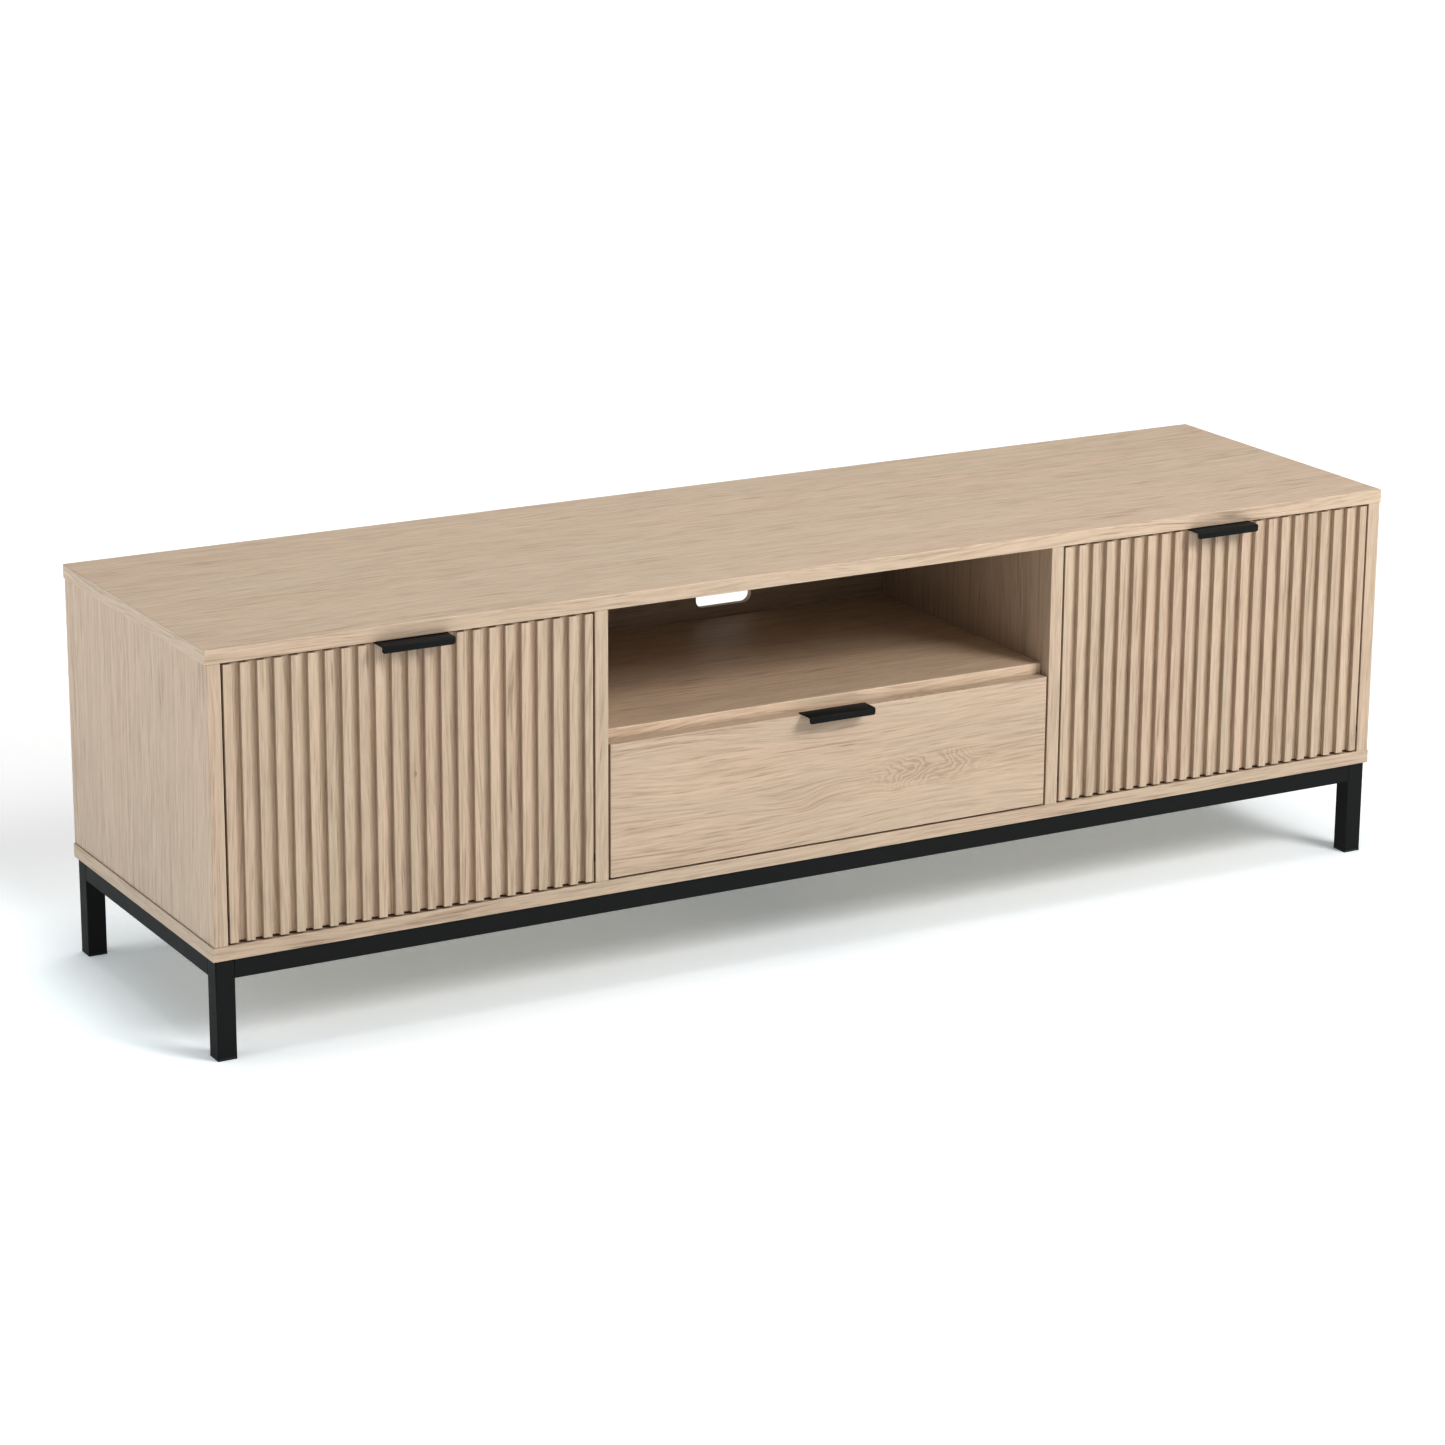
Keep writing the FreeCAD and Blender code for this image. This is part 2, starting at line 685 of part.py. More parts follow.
drawer_bolts, drawer_cams, drawer_screws = [], [], []
side_cam_depth = size.drawer_board - size.side_cam_floor
for word, side in SIDES.items():
    board = box_sides[word]
    for level in (box_z[0] + size.fitting_rise, box_z[1] - size.fitting_rise):
        across = side * (box_in + size.drawer_board / 2)
        bolt = rod("y", (across, door_face - size.bolt_sunk, level),
                   size.cam_reach + size.bolt_sunk, size.bolt_radius)
        depth_y = door_face + size.cam_reach
        disc = rod("x", (span(side, box_out - side_cam_depth, box_out)[0], depth_y, level),
                   side_cam_depth, size.cam_radius)
        slot = cross_slot("x", (depth_y, level), side * box_out, -side)
        cam_joint(bolt, disc, slot, front_board, board, drawer_bolts, drawer_cams)
        fixing = screw("x", (side * box_out, box_y[1] - size.drawer_board / 2, level), -side,
                       size.drawer_board + size.back_screw_bite)
        drawer_screws.append(fixing)
        board.bores.append(fixing)
        box_back.bores.append(fixing)


def channel(side, web, edge, rim, back_to_front):
    """A rolled channel of the runner: its web, and two flanges reaching to an edge.

    Distances run from the divider inwards; rim is half the channel's height outside.
    """
    body = new_body("channel")
    t = size.runner_sheet
    if back_to_front:
        across = (web, web - t, edge)
    else:
        across = (web, web + t, edge)
    profile = [(across[0], rim), (across[2], rim), (across[2], rim - t), (across[1], rim - t),
               (across[1], t - rim), (across[2], t - rim), (across[2], -rim), (across[0], -rim)]
    flipped = [(side * (niche_in - along), height) for along, height in profile]
    section = outline(body, "XZ_Plane", flipped)
    pad(body, section, size.runner_length, back_to_front=True)
    place(body, 0, runner_front, size.runner_level)
    return body


runner_front = door_face + size.runner_setback
sheet_t, air = size.runner_sheet, size.runner_air
rim = size.runner_height / 2
runner_screws = []
for word, side in SIDES.items():
    outer = channel(side, dim(0), size.runner_space - size.runner_setback, rim, False)
    middle_edge = size.runner_space - 2 * air - sheet_t
    middle = channel(side, sheet_t + air, middle_edge, rim - sheet_t - air, False)
    inner_edge = 2 * (sheet_t + air) + air
    inner = channel(side, size.runner_space, inner_edge, rim - 2 * (sheet_t + air), True)
    fixed = []
    moving = []
    for share in (0.12, 0.45, 0.85):
        y = runner_front + size.runner_length * share
        fixed.append(screw("x", (side * (niche_in - sheet_t), y, size.runner_level), side))
        moving.append(screw("x", (side * (box_out + sheet_t), y, size.runner_level), -side,
                            size.slide_screw))
    dividers[word].bores += fixed
    box_sides[word].bores += moving
    runner_screws += fixed
    drawer_screws += moving
    node(cut(outer, fixed), f"runner_outer_{word}")
    node(middle, f"runner_middle_{word}")
    node(cut(inner, moving), f"runner_inner_{word}")

node(group(runner_screws), "runner_screws")
node(group(drawer_bolts), "drawer_cam_bolts")
node(group(drawer_cams), "drawer_cam_locks")
node(group(drawer_screws), "drawer_screws")

boards = [top, bottom, shelf, *sides.values(), *dividers.values(), front_board, *box_sides.values(),
          box_back, box_bottom]
for board in boards:
    board.finish()
doc.recompute()

# ---------------------------------------------------------------- checks and files

for thing in doc.Objects:
    if "Invalid" in thing.State or "Error" in thing.State:
        raise RuntimeError(f"{thing.Label} failed: {thing.State}")
for name, thing in nodes.items():
    if thing.Shape.isNull() or not thing.Shape.isValid() or not thing.Shape.Solids:
        raise RuntimeError(f"{name} has no sound shape")

os.makedirs("parts", exist_ok=True)
for name, thing in nodes.items():
    thing.Shape.exportStep(f"parts/{name}.step")
print(len(nodes), "pieces written")
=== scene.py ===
import json
import math

import bmesh
import bpy
from bpy.props import FloatProperty, FloatVectorProperty, IntProperty, PointerProperty
from mathutils import Matrix, Vector

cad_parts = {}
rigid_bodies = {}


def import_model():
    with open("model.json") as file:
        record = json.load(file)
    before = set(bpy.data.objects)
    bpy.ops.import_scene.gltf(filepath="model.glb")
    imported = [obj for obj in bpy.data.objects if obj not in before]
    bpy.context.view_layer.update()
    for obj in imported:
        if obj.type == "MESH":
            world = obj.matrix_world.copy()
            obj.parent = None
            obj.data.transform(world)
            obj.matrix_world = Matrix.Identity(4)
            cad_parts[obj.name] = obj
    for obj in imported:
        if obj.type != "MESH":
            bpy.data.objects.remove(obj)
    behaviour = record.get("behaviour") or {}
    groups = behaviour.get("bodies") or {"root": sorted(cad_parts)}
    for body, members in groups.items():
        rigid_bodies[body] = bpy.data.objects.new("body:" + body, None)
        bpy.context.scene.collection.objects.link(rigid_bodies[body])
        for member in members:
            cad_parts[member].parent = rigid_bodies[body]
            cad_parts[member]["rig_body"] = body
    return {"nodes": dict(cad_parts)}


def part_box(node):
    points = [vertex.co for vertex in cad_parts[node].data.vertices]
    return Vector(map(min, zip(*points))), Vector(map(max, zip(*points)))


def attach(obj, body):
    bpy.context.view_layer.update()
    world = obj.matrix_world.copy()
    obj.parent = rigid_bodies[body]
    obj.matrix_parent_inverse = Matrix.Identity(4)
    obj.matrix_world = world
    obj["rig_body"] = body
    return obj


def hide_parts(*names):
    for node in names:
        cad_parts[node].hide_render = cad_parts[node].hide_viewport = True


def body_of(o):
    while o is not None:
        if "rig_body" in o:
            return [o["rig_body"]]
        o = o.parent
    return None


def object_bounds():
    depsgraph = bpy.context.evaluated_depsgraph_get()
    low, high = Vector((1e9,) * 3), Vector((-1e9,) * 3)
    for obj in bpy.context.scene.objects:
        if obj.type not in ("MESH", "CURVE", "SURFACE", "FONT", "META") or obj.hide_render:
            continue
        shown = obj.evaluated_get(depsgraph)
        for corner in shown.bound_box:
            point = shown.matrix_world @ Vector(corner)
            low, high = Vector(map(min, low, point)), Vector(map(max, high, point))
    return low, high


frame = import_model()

bl_info = {
    "name": "Media cabinet",
    "version": (1, 0, 0),
    "blender": (4, 5, 0),
    "location": "3D View > Sidebar > Cabinet",
    "description": "Finishes a low oak media cabinet with fluted doors around its fixed frame",
    "category": "Object",
}

# The frame's own places.  Metres; -Y is the front, +Z is up, the floor is at zero.
NODES = frame["nodes"]
CAD_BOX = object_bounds()
MM = 0.001
X, Y, Z = 0, 1, 2
TURN = 2 * math.pi

TOUCHING = 0.001 * MM  # corners this close are one corner
FLAT = math.radians(0.5)  # faces that meet at less are one flat
SHARP = math.radians(40)  # an edge that turns by more is rounded
NARROW = 2.2 * MM  # a thinner face is a strip of a rounding

BOARDS = {
    "top_panel": X, "bottom_panel": X, "niche_shelf": X, "side_panel_left": Z,
    "side_panel_right": Z, "divider_left": Z, "divider_right": Z,
}
PAINTED_LIGHT_TONES = {"niche_shelf": 0.26, "top_panel": 0.03}  # painted light: the shelf and the top are made lighter than the rest to stand for the light they catch
BACK_BOARDS = ("back_panel_left", "back_panel_centre", "back_panel_right")
BACK_PAINTED_SHADE = -0.2  # painted shade: the back boards are darkened to stand for the shade deep in the niche
DRAWER_BOARDS = {"drawer_side_left": Y, "drawer_side_right": Y, "drawer_back": X}
DOORS = ("door_left", "door_right")
PULLS = ("handle_left", "handle_right", "handle_drawer")
TUBES = (
    "leg_front_left", "leg_front_right", "leg_back_left", "leg_back_right",
    "rail_front", "rail_back", "rail_left", "rail_right", "rail_centre",
)
FEET = ("foot_front_left", "foot_front_right", "foot_back_left", "foot_back_right")
RUNNERS = tuple(
    f"runner_{part}_{side}" for part in ("outer", "middle", "inner") for side in ("left", "right")
)
SCREWS = (
    "frame_screws", "catch_screws", "door_screws_left", "door_screws_right",
    "runner_screws", "drawer_screws",
)
DOMED = ("frame_screws",)
DOMED_CAP, DOMED_SHANK = 1.4, 1.25  # height and thickness against a countersunk screw's
CAMS = ("cam_locks", "drawer_cam_locks")

# The slice of the log that each group's first board is cut from.
DOOR_CUT, DRAWER_FRONT_CUT, DRAWER_BOX_CUT = 20, 30, 31
CUT_STEP, SIDE_STEP = 2.7, 0.43  # from board to board, and from side to side of one

# Figures in the grain.  Places are (u, v) from the middle of the board, sizes are half an ellipse's
# length along the grain and half its width across it.
KNOT, KNOT_SIZE, HEART_SIZE = (0.003, 0.0), (0.045, 0.010), (0.0045, 0.0016)
FLAME, FLAME_SIZE = (0.125, -0.008), (0.100, 0.026)
ARCS_ASIDE, ARCS_SIZE = (-0.15, -0.012), (0.16, 0.026)

# Where each soft light hangs, and how wide it is.
LIGHTS = {
    "key": ((1.9, -3.2, 2.9), 1.6),
    "fill": ((-4.2, 0.4, 2.0), 2.4),
    "overhead": ((0.0, 0.3, 3.4), 2.0),
}
FLOOR_REACH = 20.0
FOOTPRINT = (0.80, 0.24)  # half the patch of floor that the cabinet shades
WHITE = (1.0, 1.0, 1.0)


# ---------------------------------------------------------------- settings


def length(name, description, default, top=0.1):
    return FloatProperty(
        name=name, description=description, default=default, min=0.0, max=top,
        precision=5, subtype="DISTANCE", unit="LENGTH",
    )


def colour(name, description, default):
    return FloatVectorProperty(
        name=name, description=description, default=default, min=0.0, max=1.0, subtype="COLOR",
    )


def strength(name, description, default, top=10.0):
    return FloatProperty(name=name, description=description, default=default, min=0.0, max=top)


def power(name, description, default):
    return FloatProperty(name=name, description=description, default=default, min=0.0, unit="POWER")


def angle(name, description, degrees):
    return FloatProperty(
        name=name, description=description, default=math.radians(degrees),
        subtype="ANGLE", unit="ROTATION",
    )


class OakSettings(bpy.types.PropertyGroup):
    """The washed-oak boards"""

    face: colour("Face", "Main colour of the washed oak", (0.545, 0.451, 0.350))
    blush: colour("Blush", "Warmer colour of the broad bands", (0.570, 0.445, 0.347))
    vein: colour("Vein", "Colour of the pores and late wood", (0.33, 0.245, 0.175))
    drawer: colour("Drawer foil", "Pale foil on the drawer box", (0.66, 0.57, 0.46))
    contrast: strength("Grain contrast", "How strongly the veins show", 1.5, 3.0)
    edge: length("Edge radius", "Rounding of the edge bands", 0.6 * MM)


class DoorSettings(bpy.types.PropertyGroup):
    """The fluted drop-down doors"""

    flutes: IntProperty(
        name="Flutes", description="Grooves in each door", default=22, min=1, max=80,
    )
    ridge: length("Ridge width", "Width of the ridges between the flutes", 9.6 * MM)
    depth: length("Flute depth", "Depth of the flutes", 6 * MM)
    edge: length("Edge radius", "Rounding of the ridges", 0.45 * MM)
    # painted light: the flutes' floors are lightened, lifting the shade that lies in them
    lift: strength("Flute lift", "How much lighter the flutes' floors are", 0.13, 0.5)
    variation: strength("Variation", "Difference in tone from ridge to ridge", 0.045, 0.5)


class PullSettings(bpy.types.PropertyGroup):
    """The folded sheet pulls"""

    sheet: length("Sheet", "Thickness of the folded sheet", 1.5 * MM)
    lip: length("Lip", "Height of the front lip", 8 * MM)
    bend: length("Bend radius", "Outer radius of the folds", 2.2 * MM)
    corner: length("Lip corner", "Radius of the lip's lower corners", 2.5 * MM)
    coat: colour("Coat", "Powder coat of the pulls", (0.0115, 0.0120, 0.0120))


class BaseSettings(bpy.types.PropertyGroup):
    """The square-tube base"""

    corner: length("Tube corner", "Rounding of the tube's long edges", 1.2 * MM)
    coat: colour("Coat", "Powder coat of the base", (0.0155, 0.0165, 0.0165))
    foot: colour("Feet", "Moulded foot plugs", (0.018, 0.018, 0.018))


class FittingSettings(bpy.types.PropertyGroup):
    """Screws, cams and the other small hardware"""

    cap: length("Screw cap", "Height of a screw's head", 1.6 * MM)
    shank: length("Shank radius", "Radius of a screw's shank", 1.75 * MM)
    zinc: colour("Zinc", "Bright zinc plate", (0.62, 0.63, 0.64))
    cast: colour("Die cast", "Die-cast cams", (0.46, 0.46, 0.46))
    catch: colour("Catch", "Moulded magnet catches", (0.55, 0.46, 0.35))
    bush: colour("Bush", "Moulded pivot bushes", (0.030, 0.027, 0.024))


class StageSettings(bpy.types.PropertyGroup):
    """Floor, light and camera"""

    floor: colour("Floor", "Pale floor", (0.90, 0.90, 0.90))
    # painted light: the floor's own glow, tinted to cool the cabinet's shadow
    glow: colour("Floor glow", "Lift of the floor beside the cabinet", (0.80, 0.94, 1.00))
    sky: strength("Surround", "Strength of the white surround", 0.44)
    key: power("Key", "Power of the key light", 134.0)
    fill: power("Fill", "Power of the side light", 27.0)
    overhead: power("Overhead", "Power of the overhead light", 46.0)
    gamma: strength("Gamma", "Depth of the picture's shades", 0.76)
    place: FloatVectorProperty(
        name="Camera", description="Where the camera stands", default=(-2.3431, -4.0982, 1.6282),
        subtype="TRANSLATION", unit="LENGTH",
    )
    yaw: angle("Yaw", "Turn to the right of straight ahead", 29.38)
    pitch: angle("Pitch", "Tilt below the horizon", 16.64)
    roll: angle("Roll", "Turn about the line of sight", 0.34)
    lens: FloatProperty(
        name="Lens", description="Focal length on a 36 mm sensor, in millimetres", default=106.35,
        min=1.0,
    )


# ---------------------------------------------------------------- node trees


class Field:
    """A socket of a node tree.  Arithmetic on it adds Math nodes."""

    def __init__(self, graph, socket):
        self.graph = graph
        self.socket = socket

    def __add__(self, other):
        return self.graph.math("ADD", self, other)

    def __sub__(self, other):
        return self.graph.math("SUBTRACT", self, other)

    def __rsub__(self, other):
        return self.graph.math("SUBTRACT", other, self)

    def __mul__(self, other):
        return self.graph.math("MULTIPLY", self, other)

    def __truediv__(self, other):
        return self.graph.math("DIVIDE", self, other)

    __radd__ = __add__
    __rmul__ = __mul__


class Graph:
    """A node tree under construction."""

    def __init__(self, tree):
        self.tree = tree

    def node(self, kind, settings=None, inputs=None, output=0):
        """Adds a node: its settings first, then the values or links of its sockets."""
        made = self.tree.nodes.new(kind)
        for name, value in (settings or {}).items():
            setattr(made, name, value)
        for name, value in (inputs or {}).items():
            if isinstance(value, Field):
                self.tree.links.new(value.socket, made.inputs[name])
            else:
                made.inputs[name].default_value = value
        return Field(self, made.outputs[output])

    def math(self, operation, *values):
        return self.node("ShaderNodeMath", {"operation": operation}, dict(enumerate(values)))

    def vector(self, x=0.0, y=0.0, z=0.0):
        return self.node("ShaderNodeCombineXYZ", None, {0: x, 1: y, 2: z})

    def split(self, vector):
        first = self.node("ShaderNodeSeparateXYZ", None, {0: vector})
        return [Field(self, socket) for socket in first.socket.node.outputs]

    def ramp(self, value, low, high, start=0.0, end=1.0, smooth=False):
        """Carries the stretch from low to high over to start to end, and holds it outside."""
        easing = "SMOOTHSTEP" if smooth else "LINEAR"
        return self.node(
            "ShaderNodeMapRange", {"interpolation_type": easing},
            {0: value, 1: low, 2: high, 3: start, 4: end},
        )


class Finish(Graph):
    """A procedural material."""

    def __init__(self, name):
        self.material = bpy.data.materials.new(name)
        self.material.use_nodes = True
        super().__init__(self.material.node_tree)

    def surface(self, sockets):
        """Sets or links the sockets of the Principled shader, and returns the material."""
        shader = self.tree.nodes["Principled BSDF"]
        for name, value in sockets.items():
            if isinstance(value, Field):
                self.tree.links.new(value.socket, shader.inputs[name])
            else:
                shader.inputs[name].default_value = value
        return self.material

    def place(self):
        return self.node("ShaderNodeTexCoord", output="Object")

    def attribute(self, name):
        return self.node("ShaderNodeAttribute", {"attribute_name": name}, output="Fac")

    def stretched(self, vector, scale):
        return self.node("ShaderNodeVectorMath", {"operation": "MULTIPLY"}, {0: vector, 1: scale})

    def noise(self, vector, scale=1.0, detail=2.0, roughness=0.5):
        return self.node(
            "ShaderNodeTexNoise", None,
            {"Vector": vector, "Scale": scale, "Detail": detail, "Roughness": roughness},
        )

    def mix(self, factor, first, second):
        """Blends two colours."""
        return self.node(
            "ShaderNodeMix", {"data_type": "RGBA"},
            {0: factor, 6: opaque(first), 7: opaque(second)}, output=2,
        )

    def shaded(self, tint, value):
        """Brightens or darkens a colour."""
        return self.node("ShaderNodeVectorMath", {"operation": "SCALE"}, {0: tint, 3: value})

    def bump(self, height, distance, strength=1.0):
        return self.node(
            "ShaderNodeBump", None, {"Height": height, "Distance": distance, "Strength": strength},
        )


def opaque(tint):
    """A colour as a socket wants it: a link as it is, three numbers with an alpha of one."""
    return tint if isinstance(tint, Field) else (*tint, 1.0)


class Shape(Graph):
    """A Geometry Nodes tree with named inputs."""

    KINDS = {float: "NodeSocketFloat", int: "NodeSocketInt", Vector: "NodeSocketVector"}

    def __init__(self, name, **inputs):
        super().__init__(bpy.data.node_groups.new(name, "GeometryNodeTree"))
        add = self.tree.interface.new_socket
        add("Geometry", in_out="INPUT", socket_type="NodeSocketGeometry")
        add("Geometry", in_out="OUTPUT", socket_type="NodeSocketGeometry")
        for title, kind in inputs.items():
            add(title, in_out="INPUT", socket_type=self.KINDS[kind])
        entry = self.tree.nodes.new("NodeGroupInput")
        self.given = {socket.name: Field(self, socket) for socket in entry.outputs if socket.name}

    def close(self, geometry, material):
        """Ends the tree in real faces of one material."""
        real = self.node("GeometryNodeRealizeInstances", None, {"Geometry": geometry})
        painted = self.node(
            "GeometryNodeSetMaterial", None, {"Geometry": real, "Material": material},
        )
        last = self.tree.nodes.new("NodeGroupOutput")
        self.tree.links.new(painted.socket, last.inputs[0])

    def join(self, *parts):
        joined = self.node("GeometryNodeJoinGeometry")
        for part in parts:
            self.tree.links.new(part.socket, joined.socket.node.inputs[0])
        return joined

    def moved(self, geometry, offset):
        return self.node(
            "GeometryNodeTransform", None, {"Geometry": geometry, "Translation": offset},
        )

    def drum(self, radius, height, sides, rings=1):
        """A closed cylinder whose top is at zero."""
        drum = self.node(
            "GeometryNodeMeshCylinder", {"fill_type": "NGON"},
            {"Vertices": sides, "Side Segments": rings, "Radius": radius, "Depth": height},
        )
        return self.moved(drum, self.vector(z=height * -0.5))

    def cut(self, body, *tools):
        """Cuts closed shapes out of a body."""
        left = self.node("GeometryNodeMeshBoolean", {"operation": "DIFFERENCE"}, {"Mesh 1": body})
        for tool in tools:
            self.tree.links.new(tool.socket, left.socket.node.inputs["Mesh 2"])
        return left

    def crossed(self, body, length, width, depth):
        """Cuts a cross recess into the top of a body."""
        return self.cut(body, *(
            self.node("GeometryNodeMeshCube", None, {"Size": self.vector(a, b, depth * 2)})
            for a, b in ((length, width), (width, length))
        ))

    def stored(self, name, kind):
        """Reads an attribute that the points carry."""
        return self.node("GeometryNodeInputNamedAttribute", {"data_type": kind}, {"Name": name})

    def planted(self, points, body, facing, inputs=None):
        """Stands a body on every point, turned to face the point's way."""
        turn = self.node("FunctionNodeAlignRotationToVector", {"axis": "Z"}, {"Vector": facing})
        return self.node(
            "GeometryNodeInstanceOnPoints", None,
            {"Points": points, "Instance": body, "Rotation": turn, **(inputs or {})},
        )

    def run(self, mesh, values):
        """Runs the tree over a mesh and returns the result as a plain mesh."""
        holder = bpy.data.objects.new(self.tree.name, mesh)
        bpy.context.scene.collection.objects.link(holder)
        modifier = holder.modifiers.new("shape", "NODES")
        modifier.node_group = self.tree
        for socket in self.tree.interface.items_tree:
            if socket.in_out == "INPUT" and socket.name in values:
                modifier[socket.identifier] = values[socket.name]
        depsgraph = bpy.context.evaluated_depsgraph_get()
        made = bpy.data.meshes.new_from_object(
            holder.evaluated_get(depsgraph), preserve_all_data_layers=True, depsgraph=depsgraph,
        )
        holder.modifiers.remove(modifier)
        bpy.data.objects.remove(holder)
        return made


# ---------------------------------------------------------------- finishes


def once(build):
    """Keeps the material that a finish function makes the first time it is called."""
    kept = {}

    def finish(*words):
        if words not in kept:
            kept[words] = build(*words)
        return kept[words]

    return finish


@once
def oak(name, flame=None, knot=None):
    """Washed-oak foil.  U of the map "grain" runs along the grain and V across it, in metres from
    the middle of the board.  A flame figure or a knot lies at its own (u, v)."""
    look = bpy.context.scene.cabinet_oak
    finish = Finish(name)
    cut = finish.attribute("cut")
    u, v, _ = finish.split(finish.node("ShaderNodeUVMap", {"uv_map": "grain"}))

    def drawn(along, across, detail=2.0, layer=0.0):
        """Noise drawn out along the grain, at so many features to the metre each way."""
        return finish.noise(finish.vector(u * along, v * across, cut + layer), detail=detail)

    def away(place, size):
        """Distance from a place on the board, 1 at the rim of an ellipse."""
        sideways = (u - place[0]) / size[0]
        upwards = (v - place[1]) / size[1]
        return finish.math("SQRT", sideways * sideways + upwards * upwards)

    def patch(distance, core):
        """1 inside the core of an ellipse, and 0 from its rim outwards."""
        return finish.ramp(distance, core, 1.0, 1.0, 0.0, smooth=True)

    sway = (drawn(2.1, 8.0, layer=3.0) - 0.5) * 0.05
    if flame:
        inside = patch(away(flame, FLAME_SIZE), 0.35)
        ragged = (drawn(15.0, 30.0, detail=3.0, layer=11.0) - 0.5) * 11.5
        lean = finish.math("ABSOLUTE", v - flame[1]) * 70.0 + ragged
        fan = finish.ramp(finish.math("SINE", (u * 84.0 + lean) * TURN), -0.5, 0.9)
        beside = (flame[0] + ARCS_ASIDE[0], flame[1] + ARCS_ASIDE[1])
        arcs = patch(away(beside, ARCS_SIZE), 0.3)
        sway = sway + (drawn(11.0, 9.0, detail=1.0, layer=31.0) - 0.5) * arcs * 0.05
    if knot:
        near = away(knot, KNOT_SIZE)
        sway = sway + patch(near, 0.0) * 0.0035
    v = v + sway

    band = finish.ramp(drawn(1.1, 17.0), 0.38, 0.62)
    drift = finish.ramp(drawn(3.2, 44.0, layer=29.0), 0.40, 0.66)
    streak = drawn(14.0, 360.0, detail=3.0, layer=5.0)
    fibre = drawn(24.0, 700.0, layer=7.0)
    rings = finish.math("SINE", v * (TURN * 120.0) + drawn(3.0, 26.0, detail=1.0, layer=9.0) * 15.0)
    pore = finish.ramp(drawn(40.0, 1200.0, detail=1.0, layer=13.0), 0.56, 0.70)
    fleck = finish.ramp(drawn(20.0, 420.0, detail=1.0, layer=19.0), 0.62, 0.74)
    late = finish.ramp(streak, 0.46, 0.72)
    veins = late * (0.22 + drift * 0.22) + finish.ramp(rings, 0.0, 1.0) * 0.05 + pore * 0.16
    veins = veins + fleck * (0.16 + drift * 0.22)
    if flame:
        comb = finish.ramp(finish.math("SINE", v * (TURN * 150.0)), -0.2, 0.9)
        veins = veins * (1.0 - inside * 0.6) + inside * (0.05 + fan * 0.26) + comb * arcs * 0.12
    if knot:
        heart = patch(away(knot, HEART_SIZE), 0.3)
        veins = veins + heart * 0.55 + finish.ramp(near, 0.1, 0.6, 0.12, 0.0)
    tint = finish.mix(band * 0.45 + drift * 0.35, look.face, look.blush)
    tint = finish.mix(finish.math("MINIMUM", veins * look.contrast, 0.9), tint, look.vein)
    value = 1.0 + (fibre - 0.5) * 0.20 + (drawn(2.4, 60.0, layer=23.0) - 0.5) * 0.16
    # painted light and shade: tone lightens the shelf, the top and the flutes' floors and darkens
    # the back boards, beside the ridges' own tone; edge lightens the rounded edges as a painted
    # highlight
    value = value + finish.attribute("tone") + finish.attribute("edge") * 0.04
    tint = finish.shaded(tint, value)
    height = fibre * 0.5 - pore * 0.8 - fleck * 0.4 + streak * 0.3
    return finish.surface({
        "Base Color": tint,
        "Roughness": 0.37 + streak * 0.10 + pore * 0.12,
        "Normal": finish.bump(height, 0.06 * MM),
        "Specular IOR Level": 0.42,
    })


@once
def drawer_foil():
    """Pale printed foil on the drawer box."""
    look = bpy.context.scene.cabinet_oak
    finish = Finish("drawer_foil")
    cut = finish.attribute("cut")
    u, v, _ = finish.split(finish.node("ShaderNodeUVMap", {"uv_map": "grain"}))
    line = finish.noise(finish.vector(u * 6.0, v * 240.0, cut), detail=3.0)
    fleck = finish.ramp(finish.noise(finish.vector(u * 60.0, v * 1300.0, cut)), 0.6, 0.75)
    tint = finish.mix(line * 0.35 + fleck * 0.15, look.drawer, look.vein)
    return finish.surface({
        # the rounded edges are lightened as a painted highlight
        "Base Color": finish.shaded(tint, 1.12 + finish.attribute("edge") * 0.08),
        "Roughness": 0.46 + line * 0.08,
        "Normal": finish.bump(line - fleck, 0.03 * MM),
    })


@once
def fibreboard():
    """Thin fibreboard with a printed face."""
    look = bpy.context.scene.cabinet_oak
    finish = Finish("fibreboard")
    place = finish.place()
    chips = finish.noise(place, 900.0, detail=3.0, roughness=0.7)
    line = finish.noise(finish.stretched(place, (8.0, 260.0, 260.0)), detail=3.0)
    tint = finish.mix(finish.ramp(chips, 0.45, 0.7, 0.0, 0.25) + line * 0.2, look.drawer, look.vein)
    return finish.surface({
        "Base Color": tint,
        "Roughness": 0.55 + chips * 0.15,
        "Normal": finish.bump(chips, 0.03 * MM),
    })


@once
def powder_coat(name, group):
    """Fine-textured satin powder coat."""
    coat = getattr(bpy.context.scene, group).coat
    finish = Finish(name)
    place = finish.place()
    orange_peel = finish.noise(place, 1400.0, roughness=0.6)
    cloud = finish.noise(place, 38.0)
    speck = finish.ramp(finish.noise(place, 2600.0, detail=1.0), 0.66, 0.74)
    tint = finish.mix(speck * 0.35 + cloud * 0.12, coat, (0.028, 0.030, 0.030))
    return finish.surface({
        "Base Color": tint,
        "Roughness": 0.42 + cloud * 0.12 + orange_peel * 0.08,
        "Normal": finish.bump(orange_peel, 0.035 * MM),
        "Specular IOR Level": 0.2,
    })


@once
def moulded(name, group, colour_name, roughness):
    """Spark-eroded moulded plastic."""
    tint = getattr(getattr(bpy.context.scene, group), colour_name)
    finish = Finish(name)
    place = finish.place()
    erosion = finish.noise(place, 2200.0, roughness=0.7)
    cloud = finish.noise(place, 60.0)
    return finish.surface({
        "Base Color": finish.shaded(tint, 0.94 + cloud * 0.12),
        "Roughness": roughness + erosion * 0.14,
        "Normal": finish.bump(erosion, 0.03 * MM),
    })


